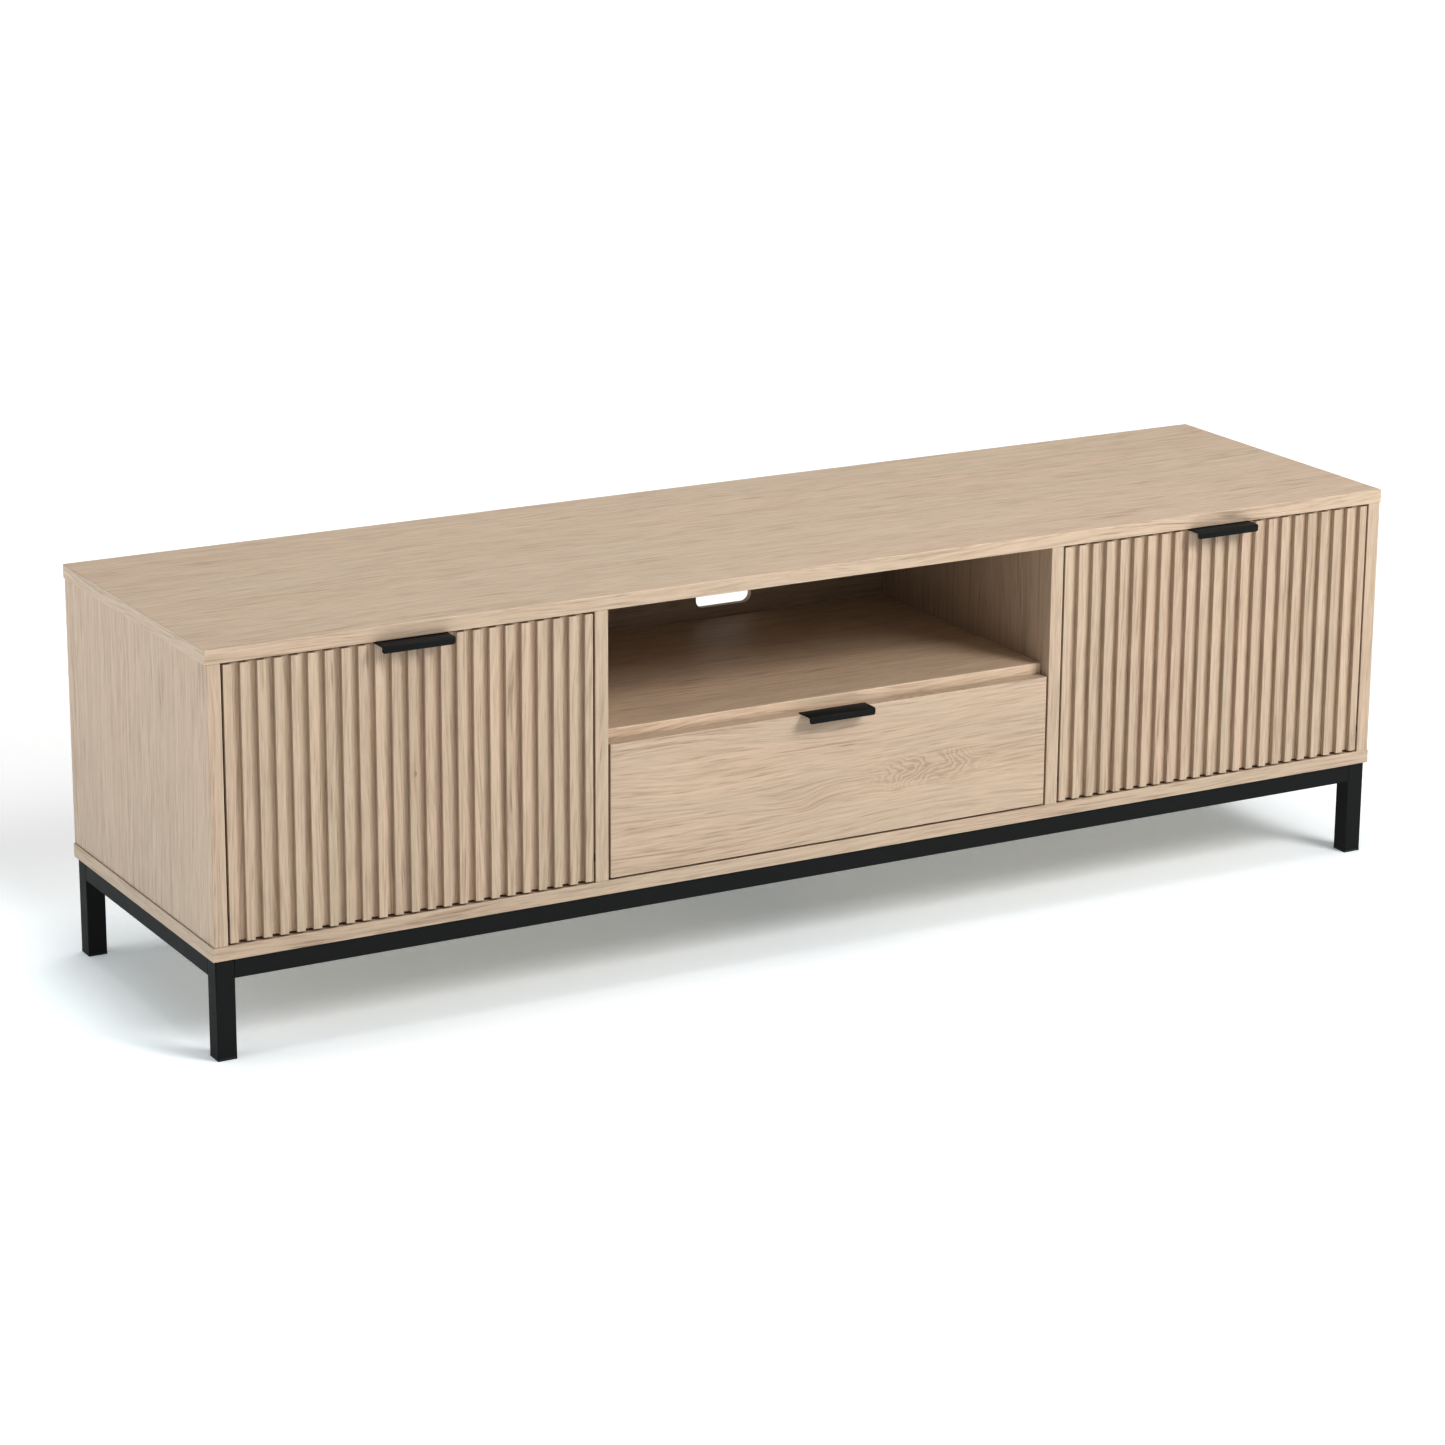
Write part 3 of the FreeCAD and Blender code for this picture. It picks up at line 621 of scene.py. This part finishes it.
@once
def beech():
    """Raw turned beech with its short flecks."""
    finish = Finish("beech")
    place = finish.place()
    fleck = finish.ramp(finish.noise(finish.stretched(place, (900.0, 900.0, 160.0))), 0.58, 0.72)
    tone = finish.noise(place, 40.0, detail=3.0)
    tint = finish.mix(fleck * 0.4 + tone * 0.2, (0.72, 0.53, 0.35), (0.45, 0.29, 0.16))
    return finish.surface({
        "Base Color": tint,
        "Roughness": 0.6 + tone * 0.15,
        "Normal": finish.bump(fleck, 0.05 * MM),
    })


@once
def bright_zinc():
    """Bright zinc plate with a faint passivated bloom."""
    fittings = bpy.context.scene.cabinet_fittings
    finish = Finish("bright_zinc")
    place = finish.place()
    bloom = finish.noise(place, 90.0, detail=3.0)
    scratch = finish.noise(finish.stretched(place, (2400.0, 260.0, 2400.0)))
    tint = finish.mix(finish.ramp(bloom, 0.4, 0.65), fittings.zinc, (0.56, 0.60, 0.66))
    return finish.surface({
        "Base Color": finish.shaded(tint, 0.95 + scratch * 0.1),
        "Metallic": 1.0,
        "Roughness": 0.22 + bloom * 0.12 + scratch * 0.08,
        "Normal": finish.bump(scratch, 0.01 * MM),
    })


@once
def die_cast():
    """Dull die-cast zinc with flow marks."""
    fittings = bpy.context.scene.cabinet_fittings
    finish = Finish("die_cast")
    place = finish.place()
    grain = finish.noise(place, 1500.0, detail=3.0, roughness=0.7)
    flow = finish.noise(place, 120.0, detail=3.0)
    tint = finish.mix(flow * 0.4, fittings.cast, (0.34, 0.34, 0.35))
    return finish.surface({
        "Base Color": finish.shaded(tint, 0.92 + grain * 0.16),
        "Metallic": 0.85,
        "Roughness": 0.44 + flow * 0.14,
        "Normal": finish.bump(grain, 0.03 * MM),
    })


@once
def rolled_steel():
    """Zinc-plated strip with its roll lines along the runner."""
    fittings = bpy.context.scene.cabinet_fittings
    finish = Finish("rolled_steel")
    place = finish.place()
    roll = finish.noise(finish.stretched(place, (2600.0, 14.0, 2600.0)))
    spangle = finish.noise(place, 170.0)
    tint = finish.mix(finish.ramp(spangle, 0.42, 0.62), fittings.zinc, (0.53, 0.55, 0.57))
    return finish.surface({
        "Base Color": finish.shaded(tint, 0.9 + roll * 0.2),
        "Metallic": 1.0,
        "Roughness": 0.28 + roll * 0.10 + spangle * 0.06,
        "Normal": finish.bump(roll, 0.012 * MM),
    })


# ---------------------------------------------------------------- meshes


def merged(node):
    """A work copy of a CAD node's mesh with its loose triangles joined."""
    work = bmesh.new()
    work.from_mesh(NODES[node].data)
    bmesh.ops.remove_doubles(work, verts=work.verts, dist=TOUCHING)
    return work


def make_flats_whole(work):
    bmesh.ops.dissolve_limit(work, angle_limit=FLAT, verts=work.verts, edges=work.edges)


def extent(corners):
    """The low and the high corner of the box round some places."""
    low = Vector(min(co[axis] for co in corners) for axis in (X, Y, Z))
    high = Vector(max(co[axis] for co in corners) for axis in (X, Y, Z))
    return low, high


def ease_edges(work, radius, shortest, segments=2):
    """Rounds every outer corner whose edge is at least so long.  Only narrow faces are shaded
    smooth, so the flats beside them stay flat."""
    sharp = [
        edge for edge in work.edges
        if len(edge.link_faces) == 2
        and edge.calc_face_angle_signed() > SHARP
        and edge.calc_length() >= shortest
    ]
    before = set(work.faces)
    bmesh.ops.bevel(
        work, geom=sharp, offset=radius, offset_type="OFFSET", segments=segments,
        profile=0.5, affect="EDGES", clamp_overlap=True,
    )
    for face in work.faces:
        if face not in before:
            face.smooth = narrow(face)


def narrow(face):
    """Whether a face is a strip of a rounding, and not a flat."""
    return 2 * face.calc_area() < NARROW * face.calc_perimeter()


def as_mesh(work, name):
    """Turns a work mesh into a mesh data block."""
    mesh = bpy.data.meshes.new(name)
    work.to_mesh(mesh)
    work.free()
    return mesh


def lay_grain(mesh, grain, cut, tone=None):
    """Writes the map "grain" along one axis.  End faces run along their longer side.  The attribute
    "cut" gives each side of a board its own slice of the log, "edge" marks the rounded edges, and
    "tone" makes the board lighter or darker.  With no tone given, the mesh keeps its own."""
    low, high = extent([vertex.co for vertex in mesh.vertices])
    middle = (low + high) / 2
    mesh.uv_layers.new(name="grain")
    for layer in {"cut", "edge", "tone"} - set(mesh.attributes.keys()):
        mesh.attributes.new(layer, "FLOAT", "FACE")
    chart = mesh.uv_layers["grain"].data
    slices, edges, tones = (mesh.attributes[layer].data for layer in ("cut", "edge", "tone"))
    for face in mesh.polygons:
        facing = max((X, Y, Z), key=lambda axis: abs(face.normal[axis]))
        others = [axis for axis in (X, Y, Z) if axis != facing]
        along = grain if grain in others else max(others, key=lambda axis: high[axis] - low[axis])
        across = others[0] if others[1] == along else others[1]
        for corner in face.loop_indices:
            place = mesh.vertices[mesh.loops[corner].vertex_index].co - middle
            chart[corner].uv = (place[along], place[across])
        side = facing if face.normal[facing] > 0 else facing + 3
        slices[face.index].value = cut * CUT_STEP + side * SIDE_STEP
        # the finishes lighten these rounded edges as a painted highlight
        edges[face.index].value = 1.0 if abs(face.normal[facing]) < 0.98 else 0.0
        # a tone given here is painted light on the shelf and the top and painted shade on the back
        # boards
        if tone is not None:
            tones[face.index].value = tone


def finished(name, mesh, material, node):
    """Makes a piece of a mesh.  It stands for a CAD node, and rides with that node's body."""
    piece = bpy.data.objects.new(name, mesh)
    bpy.context.scene.collection.objects.link(piece)
    mesh.materials.clear()
    mesh.materials.append(material)
    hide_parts(node)
    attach(piece, body_of(NODES[node])[0])
    return piece


def eased_board(node, grain, material, cut, radius, tone=0.0):
    """A board with its bores and grooves, its outer edges rounded and its grain laid."""
    work = merged(node)
    make_flats_whole(work)
    ease_edges(work, radius, shortest=8 * MM)
    mesh = as_mesh(work, node)
    lay_grain(mesh, grain, cut, tone)
    return finished(f"{node}_board", mesh, material, node)


def eased_fitting(node, suffix, material, radius, shortest=1.5 * MM, segments=2):
    """A metal or moulded fitting with its edges broken."""
    work = merged(node)
    make_flats_whole(work)
    ease_edges(work, radius, shortest, segments)
    return finished(f"{node}_{suffix}", as_mesh(work, node), material, node)


def paint(node, material):
    """Gives a CAD node that stays as it is its finish."""
    for slot in NODES[node].material_slots:
        slot.material = material


def fittings(node):
    """Where each fitting of a group node sits: the middle of its outer face, the way it faces, how
    long it is and its radius."""
    work = merged(node)
    left = set(work.verts)
    found = []
    while left:
        group, queue = set(), [min(left, key=lambda vertex: vertex.index)]
        while queue:
            vertex = queue.pop()
            if vertex in group:
                continue
            group.add(vertex)
            queue += [edge.other_vert(vertex) for edge in vertex.link_edges]
        left -= group
        found.append([vertex.co.copy() for vertex in group])
    work.free()
    return [seat(corners) for corners in found]


def seat(corners):
    """The seat of one turned fitting.  Its axis is the odd side of its box, and more corners lie at
    the end with the recess."""
    low, high = extent(corners)
    size, middle = high - low, (high + low) / 2
    usual = sorted(size)[1]
    along = max((X, Y, Z), key=lambda axis: abs(size[axis] - usual))
    sign = 1 if sum(1 if co[along] > middle[along] else -1 for co in corners) > 0 else -1
    facing = Vector((0, 0, 0))
    facing[along] = sign
    return middle + facing * (size[along] / 2), facing, size[along], usual / 2


def seats_mesh(seats):
    """A mesh of points that carries each seat's facing and length."""
    mesh = bpy.data.meshes.new("seats")
    mesh.from_pydata([place for place, *_ in seats], [], [])
    mesh.attributes.new("facing", "FLOAT_VECTOR", "POINT")
    mesh.attributes.new("reach", "FLOAT", "POINT")
    for index, (_, way, length, _) in enumerate(seats):
        mesh.attributes["facing"].data[index].vector = way
        mesh.attributes["reach"].data[index].value = length
    return mesh


# ---------------------------------------------------------------- shapes that repeat


def fluted_slab(material):
    """A slab of ridges and flutes.  The outline's corners follow a rule, four to each ridge and its
    flute, and then come the two corners of the back."""
    shape = Shape(
        "fluted_slab", Corner=Vector, Width=float, Height=float, Board=float,
        Flutes=int, Ridge=float, Depth=float, Variation=float, Lift=float, Seed=int,
    )
    given = shape.given
    pitch = (given["Width"] - given["Ridge"]) / given["Flutes"]
    index = shape.node("GeometryNodeInputIndex")
    corners = 4.0
    step = shape.math("FLOOR", index / corners)
    turn = index - step * corners
    on_far_side = shape.math("LESS_THAN", shape.math("ABSOLUTE", turn - 1.5), 1.0)
    on_next = shape.math("GREATER_THAN", turn, 2.5)
    on_back = shape.math("GREATER_THAN", index, given["Flutes"] * corners + 1.5)
    front_x = step * pitch + on_far_side * given["Ridge"] + on_next * pitch
    front_y = shape.math("GREATER_THAN", turn, 1.5) * given["Depth"]
    back_x = (1.0 - on_next) * given["Width"]
    outline_x = front_x * (1.0 - on_back) + back_x * on_back
    outline_y = front_y * (1.0 - on_back) + given["Board"] * on_back
    row = shape.node("GeometryNodeMeshLine", None, {"Count": given["Flutes"] * corners + corners})
    curve = shape.node("GeometryNodeMeshToCurve", None, {"Mesh": row})
    curve = shape.node(
        "GeometryNodeSetPosition", None,
        {"Geometry": curve, "Position": shape.vector(outline_x, outline_y)},
    )
    curve = shape.node("GeometryNodeSetSplineCyclic", None, {"Geometry": curve, "Cyclic": True})
    sole = shape.node("GeometryNodeFillCurve", {"mode": "NGONS"}, {"Curve": curve})
    slab = shape.node(
        "GeometryNodeExtrudeMesh", {"mode": "FACES"},
        {"Mesh": sole, "Offset": (0.0, 0.0, 1.0), "Offset Scale": given["Height"],
         "Individual": False},
    )
    slab = shape.join(slab, shape.node("GeometryNodeFlipFaces", None, {"Mesh": sole}))
    slab = shape.node(
        "GeometryNodeMergeByDistance", None, {"Geometry": slab, "Distance": 0.01 * MM},
    )
    across, inwards, _ = shape.split(shape.node("GeometryNodeInputPosition"))
    number = shape.math("FLOOR", across / pitch + 0.1)
    # the flutes' floors get painted light on top of each ridge's own random tone
    on_floor = shape.math("COMPARE", inwards, given["Depth"], given["Depth"] * 0.2)
    tone = shape.node(
        "FunctionNodeRandomValue", {"data_type": "FLOAT"},
        {2: given["Variation"] * -1.0, 3: given["Variation"], "ID": number, "Seed": given["Seed"]},
        output=1,
    )
    slab = shape.node(
        "GeometryNodeStoreNamedAttribute", {"data_type": "FLOAT", "domain": "FACE"},
        {"Geometry": slab, "Name": "tone", "Value": tone + on_floor * given["Lift"]},
    )
    shape.close(shape.moved(slab, given["Corner"]), material)
    return shape


def cross_head_screws(material):
    """A cross-head screw on every seat.  A sunk head narrows down to its shank (Taper 1), and a
    standing head is domed (Taper 0)."""
    shape = Shape("cross_head_screws", Radius=float, Cap=float, Shank=float, Taper=float)
    given = shape.given
    cap = shape.drum(given["Radius"], given["Cap"], sides=24, rings=4)
    x, y, z = shape.split(shape.node("GeometryNodeInputPosition"))
    rise = 1.0 + z / given["Cap"]
    sunk = (1.0 - rise) * (1.0 - given["Shank"] / given["Radius"]) * given["Taper"]
    draw = 1.0 - sunk - rise * rise * rise * (1.0 - given["Taper"]) * 0.3
    cap = shape.node(
        "GeometryNodeSetPosition", None,
        {"Geometry": cap, "Position": shape.vector(x * draw, y * draw, z)},
    )
    cap = shape.crossed(
        cap, length=given["Radius"] * 1.05, width=given["Radius"] * 0.24, depth=given["Cap"] * 0.6,
    )
    stem = shape.drum(given["Shank"], 1.0, sides=16)
    facing = shape.stored("facing", "FLOAT_VECTOR")
    reach = shape.stored("reach", "FLOAT")
    caps = shape.planted(given["Geometry"], cap, facing)
    sink = shape.node(
        "ShaderNodeVectorMath", {"operation": "SCALE"}, {0: facing, 3: given["Cap"] * -1.0},
    )
    lower = shape.node(
        "GeometryNodeSetPosition", None, {"Geometry": given["Geometry"], "Offset": sink},
    )
    stretch = shape.vector(1.0, 1.0, reach - given["Cap"])
    stems = shape.planted(lower, stem, facing, {"Scale": stretch})
    shape.close(shape.join(caps, stems), material)
    return shape


def turned_cams(material):
    """A cam with a cross recess and a mark on every seat."""
    shape = Shape("turned_cams", Radius=float, Depth=float)
    given = shape.given
    cam = shape.drum(given["Radius"], given["Depth"], sides=40)
    cam = shape.crossed(
        cam, length=given["Radius"], width=given["Radius"] * 0.22, depth=2.4 * MM,
    )
    mark = shape.drum(given["Radius"] * 0.09, 1.0 * MM, sides=12)
    mark = shape.moved(mark, shape.vector(given["Radius"] * 0.72, 0.0, 0.4 * MM))
    cam = shape.cut(cam, mark)
    cams = shape.planted(given["Geometry"], cam, shape.stored("facing", "FLOAT_VECTOR"))
    shape.close(cams, material)
    return shape


# ---------------------------------------------------------------- operators


class CABINET_OT_carcass(bpy.types.Operator):
    """Round the carcass boards' edges and lay their oak grain"""

    bl_idname = "cabinet.carcass"
    bl_label = "Carcass Boards"

    def execute(self, context):
        material = oak("oak_boards")
        edge = context.scene.cabinet_oak.edge
        for number, (node, grain) in enumerate(BOARDS.items()):
            # the shelf and the top get painted light through their tone
            eased_board(node, grain, material, number, edge, PAINTED_LIGHT_TONES.get(node, 0.0))
        return {"FINISHED"}


class CABINET_OT_backs(bpy.types.Operator):
    """Lay the oak grain on the thin back boards"""

    bl_idname = "cabinet.backs"
    bl_label = "Back Boards"

    def execute(self, context):
        edge = context.scene.cabinet_oak.edge / 2
        for number, node in enumerate(BACK_BOARDS, len(BOARDS)):
            # the back boards' oak is darkened with painted shade
            eased_board(node, X, oak("oak_boards"), number, edge, BACK_PAINTED_SHADE)
        return {"FINISHED"}


class CABINET_OT_doors(bpy.types.Operator):
    """Mill the fluted doors"""

    bl_idname = "cabinet.doors"
    bl_label = "Fluted Doors"

    def execute(self, context):
        settings = context.scene.cabinet_doors
        finishes = {
            "door_left": oak("oak_door_left", None, KNOT),
            "door_right": oak("oak_door_right"),
        }
        for number, node in enumerate(DOORS, DOOR_CUT):
            low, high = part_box(node)
            mesh = fluted_slab(finishes[node]).run(bpy.data.meshes.new("start"), {
                "Corner": low, "Width": high.x - low.x, "Height": high.z - low.z,
                "Board": high.y - low.y, "Flutes": settings.flutes, "Ridge": settings.ridge,
                "Depth": settings.depth, "Variation": settings.variation,
                "Lift": settings.lift, "Seed": number,
            })
            work = bmesh.new()
            work.from_mesh(mesh)
            bmesh.ops.recalc_face_normals(work, faces=work.faces)
            ease_edges(work, settings.edge, shortest=4 * MM)
            mesh = as_mesh(work, node)
            lay_grain(mesh, Z, number)
            finished(f"{node}_fluted", mesh, finishes[node], node)
        return {"FINISHED"}


class CABINET_OT_drawer_front(bpy.types.Operator):
    """Finish the flat drawer front with its flame figure"""

    bl_idname = "cabinet.drawer_front"
    bl_label = "Drawer Front"

    def execute(self, context):
        edge = context.scene.cabinet_oak.edge
        eased_board("drawer_front", X, oak("oak_drawer_front", FLAME), DRAWER_FRONT_CUT, edge)
        return {"FINISHED"}


class CABINET_OT_drawer_box(bpy.types.Operator):
    """Finish the drawer's sides, back and thin bottom"""

    bl_idname = "cabinet.drawer_box"
    bl_label = "Drawer Box"

    def execute(self, context):
        edge = context.scene.cabinet_oak.edge / 2
        for number, (node, grain) in enumerate(DRAWER_BOARDS.items(), DRAWER_BOX_CUT):
            eased_board(node, grain, drawer_foil(), number, edge)
        eased_fitting("drawer_bottom", "sheet", fibreboard(), 0.2 * MM)
        return {"FINISHED"}


class CABINET_OT_pulls(bpy.types.Operator):
    """Fold the sheet pulls"""

    bl_idname = "cabinet.pulls"
    bl_label = "Edge Pulls"

    def execute(self, context):
        material = powder_coat("pull_coat", "cabinet_pulls")
        for node in PULLS:
            mesh = folded_pull(node, context.scene.cabinet_pulls)
            finished(f"{node}_pull", mesh, material, node)
        return {"FINISHED"}


def folded_pull(node, settings):
    """A strip folded down into a kerf at the back and down into a lip at the front, whose lower
    corners are rounded."""
    low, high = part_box(node)
    sheet, bend, corner = settings.sheet, settings.bend, settings.corner
    folds, rounds = 6, 6

    def section(lift):
        """Matching outer and inner outlines, from the foot of the leg to the foot of the lip."""
        foot = high.z - settings.lip + lift
        outer, inner = [(high.y, low.z)], [(high.y - sheet, low.z)]
        for centre_y, first in ((high.y - bend, 0.0), (low.y + bend, math.pi / 2)):
            for step in range(folds + 1):
                angle = first + math.pi / 2 * step / folds
                for side, radius in ((outer, bend), (inner, bend - sheet)):
                    side.append((
                        centre_y + radius * math.cos(angle),
                        high.z - bend + radius * math.sin(angle),
                    ))
        outer.append((low.y, foot))
        inner.append((low.y + sheet, foot))
        return outer + inner[::-1]

    ends = [corner * (1 - math.cos(math.pi / 2 * step / rounds)) for step in range(rounds + 1)]
    stations = [(low.x + end, end) for end in ends]
    stations += [(high.x - end, end) for end in reversed(ends)]
    work = bmesh.new()
    rings = []
    for place, end in stations:
        lift = corner - math.sqrt(max(corner ** 2 - (corner - end) ** 2, 0.0))
        rings.append([work.verts.new((place, y, z)) for y, z in section(lift)])
    count = len(rings[0])
    for near, far in zip(rings, rings[1:]):
        for index in range(count):
            after = (index + 1) % count
            work.faces.new((near[index], near[after], far[after], far[index]))
    for ring in (rings[0], rings[-1]):
        for index in range(count // 2 - 1):
            work.faces.new((ring[index], ring[index + 1], ring[-2 - index], ring[-1 - index]))
    bmesh.ops.recalc_face_normals(work, faces=work.faces)
    make_flats_whole(work)
    ease_edges(work, radius=0.25 * MM, shortest=0.2 * MM)
    for face in work.faces:
        face.smooth = narrow(face)
    mesh = as_mesh(work, node)
    mesh.set_sharp_from_angle(angle=math.radians(35))
    return mesh


class CABINET_OT_base(bpy.types.Operator):
    """Round the base's square tubes"""

    bl_idname = "cabinet.base"
    bl_label = "Steel Base"

    def execute(self, context):
        material = powder_coat("base_coat", "cabinet_base")
        corner = context.scene.cabinet_base.corner
        for node in TUBES:
            eased_fitting(node, "tube", material, corner, shortest=60 * MM, segments=4)
        return {"FINISHED"}


class CABINET_OT_feet(bpy.types.Operator):
    """Break the edges of the foot plugs"""

    bl_idname = "cabinet.feet"
    bl_label = "Feet"

    def execute(self, context):
        material = moulded("foot_plastic", "cabinet_base", "foot", 0.5)
        for node in FEET:
            eased_fitting(node, "plug", material, 0.5 * MM)
        return {"FINISHED"}


class CABINET_OT_door_gear(bpy.types.Operator):
    """Finish the door stays, studs, strikes, catches, pins and bushes"""

    bl_idname = "cabinet.door_gear"
    bl_label = "Door Gear"

    def execute(self, context):
        catch = moulded("catch_plastic_finish", "cabinet_fittings", "catch", 0.42)
        bush = moulded("bush_plastic_finish", "cabinet_fittings", "bush", 0.38)
        for side in ("left", "right"):
            eased_fitting(f"flap_stay_{side}", "strip", bright_zinc(), 0.25 * MM)
            eased_fitting(f"strike_plate_{side}", "strip", bright_zinc(), 0.15 * MM)
            eased_fitting(f"pivot_pins_{side}", "turned", bright_zinc(), 0.2 * MM)
            eased_fitting(f"catch_{side}", "moulding", catch, 0.5 * MM)
        eased_fitting("stay_studs", "turned", bright_zinc(), 0.2 * MM)
        eased_fitting("pivot_bushes", "moulding", bush, 0.2 * MM)
        return {"FINISHED"}


class CABINET_OT_screws(bpy.types.Operator):
    """Put a cross-head screw in every screw seat"""

    bl_idname = "cabinet.screws"
    bl_label = "Screws"

    def execute(self, context):
        settings = context.scene.cabinet_fittings
        shape = cross_head_screws(bright_zinc())
        for node in SCREWS:
            seats = fittings(node)
            domed = node in DOMED
            mesh = shape.run(seats_mesh(seats), {
                "Radius": seats[0][3],
                "Cap": settings.cap * (DOMED_CAP if domed else 1.0),
                "Shank": settings.shank * (DOMED_SHANK if domed else 1.0),
                "Taper": 0.0 if domed else 1.0,
            })
            finished(f"{node}_cross_head", mesh, bright_zinc(), node)
        return {"FINISHED"}


class CABINET_OT_cams(bpy.types.Operator):
    """Put a cam in every cam bore"""

    bl_idname = "cabinet.cams"
    bl_label = "Cam Locks"

    def execute(self, context):
        shape = turned_cams(die_cast())
        for node in CAMS:
            seats = fittings(node)
            mesh = shape.run(seats_mesh(seats), {"Radius": seats[0][3], "Depth": seats[0][2]})
            finished(f"{node}_cast", mesh, die_cast(), node)
        return {"FINISHED"}


class CABINET_OT_joinery(bpy.types.Operator):
    """Finish the dowels and bolts inside the joints"""

    bl_idname = "cabinet.joinery"
    bl_label = "Dowels and Bolts"

    def execute(self, context):
        paint("dowels", beech())
        paint("cam_bolts", bright_zinc())
        paint("drawer_cam_bolts", bright_zinc())
        return {"FINISHED"}


class CABINET_OT_runners(bpy.types.Operator):
    """Finish the drawer runners"""

    bl_idname = "cabinet.runners"
    bl_label = "Runners"

    def execute(self, context):
        for node in RUNNERS:
            eased_fitting(node, "channel", rolled_steel(), 0.3 * MM, shortest=5 * MM)
        return {"FINISHED"}


class CABINET_OT_stage(bpy.types.Operator):
    """Lay the floor, hang the lights and stand the camera"""

    bl_idname = "cabinet.stage"
    bl_label = "Stage"

    def execute(self, context):
        settings = context.scene.cabinet_stage
        lay_floor(settings)
        surround = bpy.data.worlds.new("surround")
        surround.use_nodes = True
        sky = surround.node_tree.nodes["Background"].inputs
        sky["Color"].default_value = opaque(WHITE)
        sky["Strength"].default_value = settings.sky
        context.scene.world = surround
        for name, (place, size) in LIGHTS.items():
            soft_box(name, place, size, getattr(settings, name))
        stand_camera(context, settings)
        context.scene.view_settings.view_transform = "Standard"
        context.scene.view_settings.gamma = settings.gamma
        return {"FINISHED"}


def lay_floor(settings):
    """A wide pale floor.  Its own faint glow carries it to white beyond the cabinet's shadow."""
    work = bmesh.new()
    bmesh.ops.create_grid(work, x_segments=2, y_segments=2, size=FLOOR_REACH)
    floor = bpy.data.objects.new("floor", as_mesh(work, "floor"))
    bpy.context.scene.collection.objects.link(floor)
    finish = Finish("floor_paint")
    place = finish.place()
    cloud = finish.noise(place, 0.7)
    x, y, _ = finish.split(place)
    beside = finish.math("MAXIMUM", finish.math("ABSOLUTE", x) - FOOTPRINT[0], 0.0)
    before = finish.math("MAXIMUM", finish.math("ABSOLUTE", y) - FOOTPRINT[1], 0.0)
    distance = finish.math("SQRT", beside * beside + before * before)
    # painted light: the floor's glow is weakest right beside the cabinet, where its shadow stays,
    # and grows far off and to the cabinet's left, where it washes out the cabinet's shadow; near
    # the cabinet it is tinted blue to cool the shadow's colour
    near = finish.ramp(distance, 0.0, 0.35, 0.24, 0.10, smooth=True)
    far = finish.ramp(distance, 0.8, 3.0, 0.0, 0.60)
    left = finish.ramp(x, -0.70, -0.92, 0.0, 0.40, smooth=True)
    tint = finish.mix(finish.ramp(distance, 0.1, 0.8), settings.glow, WHITE)
    floor.data.materials.append(finish.surface({
        "Base Color": finish.shaded(settings.floor, 0.99 + cloud * 0.02),
        "Roughness": 0.7,
        "Specular IOR Level": 0.0,
        "Emission Color": finish.shaded(tint, near + far + left),
        "Emission Strength": 1.0,
    }))


def soft_box(name, place, size, power):
    """A square soft light aimed at the middle of the cabinet."""
    light = bpy.data.lights.new(name, "AREA")
    light.size = size
    light.energy = power
    lamp = bpy.data.objects.new(name, light)
    lamp.location = place
    low, high = CAD_BOX
    lamp.rotation_euler = ((low + high) / 2 - Vector(place)).to_track_quat("-Z", "Y").to_euler()
    bpy.context.scene.collection.objects.link(lamp)


def stand_camera(context, settings):
    """A camera that looks down at the cabinet from the front left."""
    camera = bpy.data.objects.new("camera", bpy.data.cameras.new("camera"))
    camera.data.sensor_width = 36.0
    camera.data.lens = settings.lens
    turn = (
        Matrix.Rotation(-settings.yaw, 4, "Z")
        @ Matrix.Rotation(math.pi / 2 - settings.pitch, 4, "X")
        @ Matrix.Rotation(settings.roll, 4, "Z")
    )
    camera.matrix_world = Matrix.Translation(settings.place) @ turn
    context.scene.collection.objects.link(camera)
    context.scene.camera = camera


# ---------------------------------------------------------------- panel and registration

STEPS = (
    CABINET_OT_stage, CABINET_OT_carcass, CABINET_OT_backs, CABINET_OT_doors,
    CABINET_OT_drawer_front, CABINET_OT_drawer_box, CABINET_OT_pulls, CABINET_OT_base,
    CABINET_OT_feet, CABINET_OT_door_gear, CABINET_OT_screws, CABINET_OT_cams,
    CABINET_OT_joinery, CABINET_OT_runners,
)
SETTINGS = {
    "cabinet_oak": OakSettings,
    "cabinet_doors": DoorSettings,
    "cabinet_pulls": PullSettings,
    "cabinet_base": BaseSettings,
    "cabinet_fittings": FittingSettings,
    "cabinet_stage": StageSettings,
}


class CABINET_PT_sidebar(bpy.types.Panel):
    """The cabinet's settings and the steps that make it"""

    bl_idname = "CABINET_PT_sidebar"
    bl_label = "Media Cabinet"
    bl_space_type = "VIEW_3D"
    bl_region_type = "UI"
    bl_category = "Cabinet"

    def draw(self, context):
        for name, group in SETTINGS.items():
            box = self.layout.box()
            box.label(text=group.__doc__)
            for setting in group.__annotations__:
                box.prop(getattr(context.scene, name), setting)
        for step in STEPS:
            self.layout.operator(step.bl_idname)


def register():
    for cls in (*SETTINGS.values(), *STEPS, CABINET_PT_sidebar):
        bpy.utils.register_class(cls)
    for name, group in SETTINGS.items():
        setattr(bpy.types.Scene, name, PointerProperty(type=group))


def unregister():
    for name in SETTINGS:
        delattr(bpy.types.Scene, name)
    for cls in reversed((*SETTINGS.values(), *STEPS, CABINET_PT_sidebar)):
        bpy.utils.unregister_class(cls)


def main():
    register()
    for step in STEPS:
        group, name = step.bl_idname.split(".")
        getattr(getattr(bpy.ops, group), name)()


if __name__ == "__main__":
    main()
